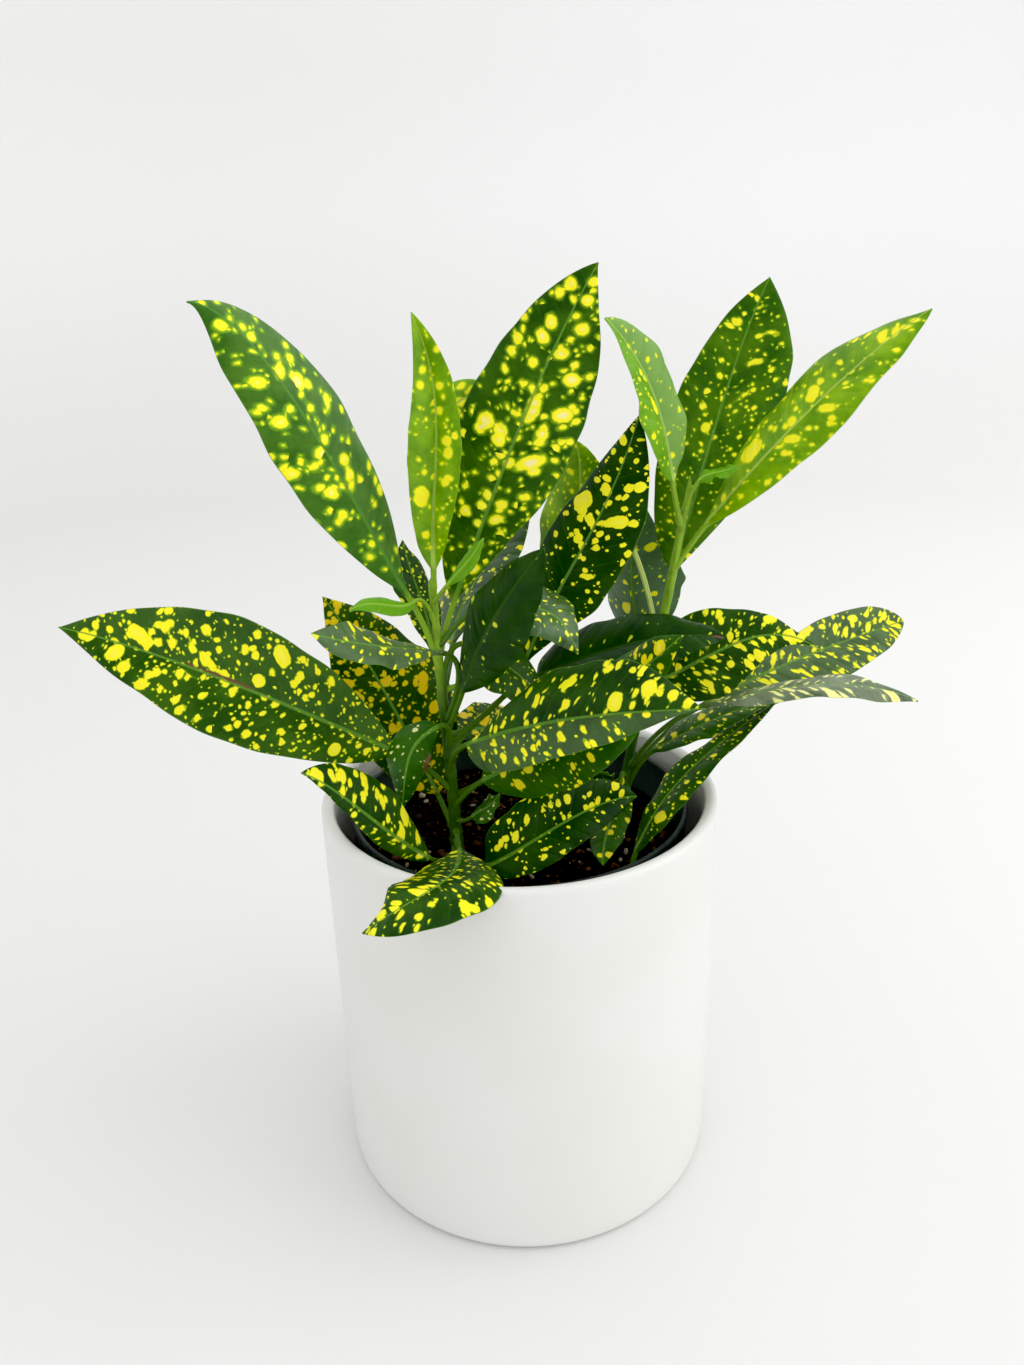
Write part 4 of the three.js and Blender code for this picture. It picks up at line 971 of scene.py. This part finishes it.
BRIGHT_STALK = (0.25, 0.43, 0.03)
# The sheen shares in these looks paint a grey sheen, a painted reflection, on the halves of a blade.
LOOKS = {
    "stick": Look(stalk=(0.50, 0.62, 0.16), dark=(0.10, 0.30, 0.002), light=(0.16, 0.40, 0.012),
                  vein=(0.30, 0.55, 0.05), pin=0, small=0, middle=0),
    "fresh": Look(stalk=BRIGHT_STALK, dark=(0.028, 0.125, 0.003), light=(0.075, 0.20, 0.012),
                  glow=(0.26, 0.52, 0.01), heart=(0.98, 0.95, 0.30), vein=(0.10, 0.27, 0.03),
                  painted_sheen=(0.02, 0.1), pin=0.12, small=0.3, middle=0.08, soft=0.5, halo=1.0, stretch=1.4),
    "cream": Look(stalk=BRIGHT_STALK, dark=(0.012, 0.068, 0.001), light=(0.050, 0.145, 0.001),
                  glow=(0.28, 0.48, 0.005), heart=(0.98, 0.84, 0.42), pin=0.15, small=0.42,
                  middle=0.12, soft=0.45, halo=0.9),
    "lime": Look(stalk=BRIGHT_STALK, dark=(0.09, 0.25, 0.001), light=(0.26, 0.48, 0.003),
                 vein=(0.42, 0.60, 0.10), glow=(0.45, 0.65, 0.01), heart=(0.95, 0.90, 0.05),
                 painted_sheen=(0.06, 0.0), pin=0.2, small=0.3, middle=0, soft=0.4, halo=0.7),
    "pale": Look(stalk=BRIGHT_STALK, dark=(0.11, 0.30, 0.004), light=(0.18, 0.40, 0.02),
                 vein=(0.40, 0.60, 0.15), glow=(0.40, 0.60, 0.03), painted_sheen=(0.0, 0.3), pin=0.2,
                 small=0.12, middle=0, soft=0.4, halo=0.5, shine=0.2),
    "olive": Look(stalk=BRIGHT_STALK, dark=(0.022, 0.105, 0.001), light=(0.085, 0.21, 0.001),
                  glow=(0.24, 0.44, 0.004), pin=0.35, small=0.22, middle=0, soft=0.35, halo=0.6),
    "new": Look(stalk=BRIGHT_STALK, dark=(0.10, 0.30, 0.002), light=(0.16, 0.40, 0.012),
                vein=(0.30, 0.55, 0.05), pin=0, small=0, middle=0, shine=0.2),
    "dotted": Look(dark=(0.014, 0.070, 0.001), light=(0.045, 0.13, 0.004), painted_sheen=(0.0, 0.05), pin=0.4,
                   small=0.48, middle=0.1, soft=0.3, halo=0.35),
    "dense": Look(dark=(0.007, 0.045, 0.001), light=(0.03, 0.10, 0.004), pin=0.45, small=0.75, middle=0.3,
                  stretch=1.9),
    # Its greyish greens are partly a painted sheen; its shine is the real gloss.
    "satin": Look(dark=(0.022, 0.07, 0.008), light=(0.07, 0.145, 0.035), painted_sheen=(0.12, 0.12), pin=0.5,
                  small=0.85, middle=0.3, stretch=2.4, shine=0.3),
    "golden": Look(dark=(0.008, 0.045, 0.001), light=(0.03, 0.10, 0.002), spot=(0.80, 0.58, 0.006),
                   heart=(0.85, 0.56, 0.008), pin=0.5, small=1.2, middle=1.7),
    "streaked": Look(dark=(0.006, 0.042, 0.001), light=(0.028, 0.095, 0.004), painted_sheen=(0.0, 0.13), pin=0.3,
                     small=0.45, middle=0.12, stretch=2.2, shine=0.2),
    # Its grey light tone is a painted sheen over a dark green leaf.
    "grey_painted_sheen": Look(dark=(0.035, 0.085, 0.02), light=(0.22, 0.27, 0.16), spot=(0.90, 0.88, 0.30),
                   glow=(0.35, 0.45, 0.15), pin=0.5, small=0.8, middle=0.3, stretch=4.0, shine=0.5),
    "bold": Look(dark=(0.003, 0.036, 0.001), light=(0.018, 0.072, 0.002), pin=0.25, small=0.35, middle=0.15,
                 soft=0.2, halo=0.2),
    "plain": Look(dark=(0.003, 0.034, 0.001), light=(0.016, 0.066, 0.002), spot=(0.62, 0.66, 0.03),
                  vein=(0.03, 0.10, 0.006), pin=0.06, small=0.03, middle=0.0, stretch=1.8),
    "speckled": Look(dark=(0.010, 0.055, 0.002), light=(0.03, 0.10, 0.006), pin=0.4, small=0.3, middle=0.2),
    "cool": Look(dark=(0.05, 0.12, 0.045), light=(0.09, 0.18, 0.085), painted_sheen=(0.12, 0.12), pin=0.2,
                 small=0.25, middle=0.12, stretch=1.5),
    "shade": Look(dark=(0.010, 0.052, 0.003), light=(0.04, 0.12, 0.016), painted_sheen=(0.06, 0.06), pin=0.3,
                  small=0.3, middle=0.25, stretch=1.5, rough=0.25, shine=0.5),
    "deep": Look(dark=(0.012, 0.075, 0.001), light=(0.035, 0.13, 0.002), spot=(0.95, 0.80, 0.012),
                 pin=0.25, small=0.35, middle=0.4),
    "torn": Look(dark=(0.015, 0.08, 0.002), light=(0.035, 0.13, 0.004), spot=(0.78, 0.76, 0.38), pin=0.3,
                 small=0.05, middle=0.0),
}

# The random spots of each size, in millimetres: the size of a place for one, its least and most radius,
# and where the pattern starts.
SPOT_SIZES = (
    ("pin", 1.6, 0.12, 0.4, (0, 0, 0)),
    ("small", 3.2, 0.35, 1.0, (7.3, 3.1, 0)),
    ("middle", 6.0, 0.8, 2.0, (1.7, 9.9, 0)),
)
# FINE_SWAY and WIDE_SWAY are the sizes in millimetres of the noises that sway the spots. LEAF_APART and
# SIDE_APART set the patterns of the leaves and of their halves apart. A side vein leaves the midrib every
# VEIN_SPACING millimetres, and climbs by VEIN_SLOPE times the distance from it and VEIN_CURVE times the
# square of that. VEIN_STAGGER is the part of the spacing by which each half is shifted.
FINE_SWAY, WIDE_SWAY = 2.6, 8.0
LEAF_APART, SIDE_APART = 31, 40
VEIN_SPACING, VEIN_SLOPE, VEIN_CURVE, VEIN_STAGGER = 6.2, 0.62, 0.012, 0.3
# The grey of the painted sheen on the leaf halves, and the colour of the underside.
PAINTED_SHEEN_GREY, UNDERSIDE = (0.30, 0.40, 0.22), (0.12, 0.2, 0.05)
SPECK_BROWN, SCAR_BROWN = (0.6, 0.42, 0.15), (0.16, 0.085, 0.035)


def spot_level(g, place, cell, least, most, share):
    """How far inside a spot a point is, in millimetres, for one size of spot, or far outside all of them."""
    distance, chance = g.cells(place, cell)
    radius = least + (most - least) * chance[1] ** 2.0
    there = chance[0].math("LESS_THAN", share)
    return (radius - distance) * there - FAR_OUTSIDE * (1 - there)


def leaf_material(name, look):
    """A croton leaf: layered greens, spots stretched along the side veins, midrib, margin and stalk."""
    g = material_graph("croton_" + name)
    blade = g.attribute("blade")[0]
    x, y, seed = blade.parts()
    v, t, top = g.attribute("place")[0].parts()
    side, far = x.sign(), abs(x)
    warp = g.noise(blade, FINE_SWAY, 1, NOISE_COLOUR).parts()
    wide = g.noise(blade, WIDE_SWAY, 1, NOISE_COLOUR).parts()
    px = (far * SIDE_VEIN[0] + y * SIDE_VEIN[1]) / look.stretch + seed * LEAF_APART + side * SIDE_APART
    px = px + (warp[0] - 0.5) * 1.2 + (wide[0] - 0.5) * 2
    py = y * SIDE_VEIN[0] - far * SIDE_VEIN[1] + (warp[1] - 0.5) * 1.2 + (wide[1] - 0.5) * 2
    share = 0.3 + 1.4 * g.noise(blade, 12, 1)
    spots = g.vector(px, py)
    reach = g.attribute("mark")[1] + (warp[2] - 0.5) * 1.1 + (wide[2] - 0.5) * 0.6
    for size, cell, least, most, offset in SPOT_SIZES:
        amount = getattr(look, size)
        if amount:
            reach = reach.most(spot_level(g, g.moved(spots, offset), cell, least, most, share * amount))

    clouds = g.noise(blade, 11, 3)
    fine = g.noise(blade, 1.2, 3, rough=0.65)
    veins = (y - far * VEIN_SLOPE - far * far * VEIN_CURVE) / VEIN_SPACING + VEIN_STAGGER * side
    fold = abs(veins.math("FRACT") - 0.5) * 2
    vein = (1 - fold.step(0.0, 0.08)) * (1 - abs(v).step(0.8, 0.97))
    tone = g.mix((clouds * 0.8 + fine * 0.2).step(0.3, 0.7), look.dark, look.light)
    # Painted sheen: each half of the blade is greyed by its own share, a painted reflection of the bright
    # surroundings.
    half = side.step(-0.5, 0.5)
    tone = g.mix(half * (look.painted_sheen[1] - look.painted_sheen[0]) + look.painted_sheen[0], tone, PAINTED_SHEEN_GREY)
    tone = g.mix(vein * 0.14, tone, look.vein)
    tone = g.mix(reach.step(-look.halo, 0.05) * 0.8, tone, look.glow)
    yellow = g.mix(reach.step(0.6, 1.8), look.spot, look.heart)
    speck = fine.step(0.62, 0.75) * reach.step(0.9, 1.8)
    yellow = g.mix(speck * 0.3, yellow, SPECK_BROWN)
    tone = g.mix(reach.step(-look.soft / 2, look.soft / 2), tone, yellow)

    rib = 1 - (far - 0.5 * (1 - t) - 0.08).step(0.0, 0.2)
    tone = g.mix(rib * 0.8, tone, look.vein)
    tone = g.mix(abs(v).step(0.978, 0.992) * 0.6, tone, look.vein)
    scar = g.attribute("scar")[1] + (warp[0] - 0.5) * 0.6
    tone = g.mix(scar.step(-0.1, 0.25), tone, SCAR_BROWN)
    tone = g.mix(top, g.mix(0.35, tone, UNDERSIDE), tone)
    tone = g.mix(1 - t.step(-0.02, 0.035), tone, look.stalk)

    height = fold.step(0.0, 0.6) * 0.5 + fine * 0.18 + clouds * 0.5 + reach.step(-0.2, 0.2) * 0.06
    rough = look.rough + 0.1 * fine + (1 - top) * 0.18
    return g.finish(tone, rough, g.bump(height, 0.35, 0.0009), specular_ior_level=look.shine)


# ------------------------------------------------------------------ the stage
CAMERA_PLACE = (0.0, -301.5, 283.5)
CAMERA_DOWN, CAMERA_TURN, CAMERA_ROLL = 20.94, -0.26, -1.68
IMAGE_WIDTH, FOCAL_PIXELS, SENSOR = 1024, 1025.0, 36.0
BLACK_LEVEL = 0.006
SWEEP_SIDES = 96
WINDOW_PLACE, WINDOW_TARGET, WINDOW_SIZE = (1.2, -0.1, 0.95), (0, 0, 0.15), 1.3
WINDOW_COLOUR, SKY_COLOUR = (1.0, 0.995, 0.98), (0.985, 0.99, 1.0)


def stage_material(colour):
    """A pale matt paper with painted light: lighter at its right and where it rises, with the faintest
    mottling.
    """
    g = material_graph("paper_with_painted_light")
    place = g.coordinates()
    x, _, z = place.parts()
    # Painted light: the paper is painted lighter towards the right, where the window is, and up the rise.
    pale = (z.step(0.0, 0.5) * 0.5 + x.step(-0.7, 0.9) * 0.5).math("MINIMUM", 1.0)
    tone = g.mix(pale, colour, (0.94, 0.94, 0.935))
    cloud = g.noise(place, 0.3, 3)
    tone = g.mix(cloud * 0.1, tone, colour)
    return g.finish(tone, 0.9, specular_ior_level=0.2)


def sweep(colour):
    """The floor: a flat disc whose edge rises behind the plant in a quarter circle and then straight up."""
    flat, bend, high = 1300.0, 700.0, 1800.0
    corner = arc(flat, bend, bend, -90, 0, 24)
    rings = turned(np.vstack([[[AXIS, 0.0], [flat / 2, 0.0]], corner, [[flat + bend, high]]]), SWEEP_SIDES)
    behind = rings[..., 1] / np.maximum(np.hypot(rings[..., 0], rings[..., 1]), 1)
    rings[..., 2] *= smooth_step(behind, -0.1, 0.5)
    faces = tube_faces(len(rings), SWEEP_SIDES, False)
    floor = smooth_object("floor_sweep", rings.reshape(-1, 3), faces, stage_material(colour))


def area_light(name, place, target, size, power, colour):
    """A square soft light that faces a point."""
    data = bpy.data.lights.new(name, "AREA")
    data.shape, data.size, data.energy, data.color = "SQUARE", size, power, colour
    light = bpy.data.objects.new(name, data)
    bpy.context.scene.collection.objects.link(light)
    way = Vector(target) - Vector(place)
    light.matrix_world = Matrix.Translation(place) @ way.to_track_quat("-Z", "Y").to_matrix().to_4x4()


def sky(strength):
    """Soft light from all round, strongest from the right and above. What shines on the plant's front sides
    is darker than what lights them, as where the one who looks at it stands in the way."""
    world = bpy.data.worlds.new("soft_sky")
    bpy.context.scene.world = world
    g = Graph(world)
    x, y, z = g.coordinates("Generated").parts()
    shiny = g.add("LightPath", output="Is Glossy Ray")
    front = (y * -0.93 + z * 0.36).step(0.1, 0.8) * shiny
    light = (x * 0.19 + z * 0.25 + 1.0) * (1 - 0.85 * front) * strength
    g.end(g.add("Background", None, {"Color": with_alpha(SKY_COLOUR), "Strength": light}), "OutputWorld")


def photo_camera():
    """The camera at the photograph's place and angle: its axes from its pitch, turn and roll."""
    down, turn, roll = (math.radians(angle) for angle in (CAMERA_DOWN, CAMERA_TURN, CAMERA_ROLL))
    forward = Vector((math.sin(turn) * math.cos(down), math.cos(turn) * math.cos(down), -math.sin(down)))
    right = forward.cross(Vector((0, 0, 1))).normalized()
    up = right.cross(forward)
    level_right = right * math.cos(roll) + up * math.sin(roll)
    level_up = up * math.cos(roll) - right * math.sin(roll)
    data = bpy.data.cameras.new("photo_camera")
    data.sensor_fit, data.sensor_width = "HORIZONTAL", SENSOR
    data.lens = SENSOR * FOCAL_PIXELS / IMAGE_WIDTH
    data.clip_start, data.clip_end = 0.01, 20
    camera = bpy.data.objects.new("photo_camera", data)
    axes = Matrix((level_right, level_up, -forward)).transposed().to_4x4()
    camera.matrix_world = Matrix.Translation(Vector(CAMERA_PLACE) * MM) @ axes
    bpy.context.scene.collection.objects.link(camera)
    bpy.context.scene.camera = camera


# ------------------------------------------------------------------ the add-on
class CrotonPot(bpy.types.PropertyGroup):
    """Sizes and colours of the glazed pot."""
    radius: bpy.props.FloatProperty(
        name="Radius", description="Outer radius of the glazed pot at its rim",
        default=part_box("glazed_pot")[1].x, unit="LENGTH")
    height: bpy.props.FloatProperty(
        name="Height", description="Height of the glazed pot",
        default=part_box("glazed_pot")[1].z, unit="LENGTH")
    wall: bpy.props.FloatProperty(
        name="Wall", description="Thickness of the glazed pot's wall", default=0.0043, unit="LENGTH")
    colour: bpy.props.FloatVectorProperty(
        name="Glaze", description="Colour of the glaze", default=(0.78, 0.775, 0.75), subtype="COLOR")


class CrotonLiner(bpy.types.PropertyGroup):
    """Sizes and colours of the growing pot."""
    rim_radius: bpy.props.FloatProperty(
        name="Rim radius", description="Outer radius of the growing pot at its rim",
        default=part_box("growing_pot")[1].x, unit="LENGTH")
    rim_top: bpy.props.FloatProperty(
        name="Rim height", description="Height of the growing pot's rim above the floor",
        default=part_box("growing_pot")[1].z, unit="LENGTH")
    colour: bpy.props.FloatVectorProperty(
        name="Plastic", description="Colour of the plastic", default=(0.012, 0.022, 0.018), subtype="COLOR")


class CrotonPlant(bpy.types.PropertyGroup):
    """Values of the soil, the stems and the leaves."""
    crumbs: bpy.props.IntProperty(
        name="Bits", description="How many loose bits lie on the soil", default=1400, min=0)
    stem_colour: bpy.props.FloatVectorProperty(
        name="Young stem", description="Colour of the stems near their tips",
        default=(0.26, 0.44, 0.03), subtype="COLOR")


class CrotonStage(bpy.types.PropertyGroup):
    """Values of the floor and the lights."""
    floor: bpy.props.FloatVectorProperty(
        name="Floor", description="Colour of the floor", default=(0.745, 0.745, 0.725), subtype="COLOR")
    sky: bpy.props.FloatProperty(
        name="Sky", description="Strength of the light from all round", default=0.96)
    window: bpy.props.FloatProperty(
        name="Window", description="Power of the large soft light at the right", default=5.8, unit="POWER")


class GlazedPotOperator(bpy.types.Operator):
    """Adds the glazed pot"""
    bl_idname = "croton.glazed_pot"
    bl_label = "Glazed pot"

    def execute(self, context):
        glazed_pot(context.scene.croton_pot)
        return {"FINISHED"}


class GrowingPotOperator(bpy.types.Operator):
    """Adds the growing pot"""
    bl_idname = "croton.growing_pot"
    bl_label = "Growing pot"

    def execute(self, context):
        growing_pot(context.scene.croton_liner)
        return {"FINISHED"}


class SoilOperator(bpy.types.Operator):
    """Adds the soil and the loose bits on it"""
    bl_idname = "croton.soil"
    bl_label = "Soil"

    def execute(self, context):
        soil_bed()
        soil_crumbs(context.scene.croton_plant)
        return {"FINISHED"}


class StemsOperator(bpy.types.Operator):
    """Adds the two stems"""
    bl_idname = "croton.stems"
    bl_label = "Stems"

    def execute(self, context):
        material = stem_material(tuple(context.scene.croton_plant.stem_colour))
        for stem in STEMS:
            stem_piece(stem, [leaf.joint for leaf in LEAVES if leaf.stem == stem], material)
        return {"FINISHED"}


class LeavesOperator(bpy.types.Operator):
    """Adds every leaf, with one material for each kind of leaf"""
    bl_idname = "croton.leaves"
    bl_label = "Leaves"

    def execute(self, context):
        looks = dict.fromkeys(leaf.look for leaf in LEAVES)
        materials = {look: leaf_material(look, LOOKS[look]) for look in looks}
        for seed, leaf in enumerate(LEAVES, start=1):
            leaf_piece(leaf, seed, materials[leaf.look])
        return {"FINISHED"}


class StageOperator(bpy.types.Operator):
    """Adds the floor, the lights and the camera"""
    bl_idname = "croton.stage"
    bl_label = "Stage"

    def execute(self, context):
        settings = context.scene.croton_stage
        sweep(tuple(settings.floor))
        sky(settings.sky)
        area_light("window", WINDOW_PLACE, WINDOW_TARGET, WINDOW_SIZE, settings.window, WINDOW_COLOUR)
        photo_camera()
        view = context.scene.view_settings
        view.view_transform = "Standard"
        view.use_curve_mapping = True
        view.curve_mapping.black_level = (BLACK_LEVEL,) * 3
        return {"FINISHED"}


class CrotonPanel(bpy.types.Panel):
    """Lists the steps that build the potted croton, and their settings"""
    bl_idname = "VIEW3D_PT_croton"
    bl_label = "Potted Croton"
    bl_space_type = "VIEW_3D"
    bl_region_type = "UI"
    bl_category = "Croton"

    def draw(self, context):
        for operator in OPERATORS:
            self.layout.operator(operator.bl_idname)
        for name, group in GROUPS.items():
            settings = getattr(context.scene, name)
            for field_name in group.__annotations__:
                self.layout.prop(settings, field_name)


GROUPS = {
    "croton_pot": CrotonPot, "croton_liner": CrotonLiner,
    "croton_plant": CrotonPlant, "croton_stage": CrotonStage,
}
OPERATORS = (
    GlazedPotOperator, GrowingPotOperator, SoilOperator, StemsOperator, LeavesOperator, StageOperator)


def register():
    for kind in (*GROUPS.values(), *OPERATORS, CrotonPanel):
        bpy.utils.register_class(kind)
    for name, group in GROUPS.items():
        setattr(bpy.types.Scene, name, bpy.props.PointerProperty(type=group))


def unregister():
    for name in GROUPS:
        delattr(bpy.types.Scene, name)
    for kind in (CrotonPanel, *reversed(OPERATORS), *GROUPS.values()):
        bpy.utils.unregister_class(kind)


def main():
    register()
    bpy.ops.croton.glazed_pot()
    bpy.ops.croton.growing_pot()
    bpy.ops.croton.soil()
    bpy.ops.croton.stems()
    bpy.ops.croton.leaves()
    bpy.ops.croton.stage()


if __name__ == "__main__":
    main()
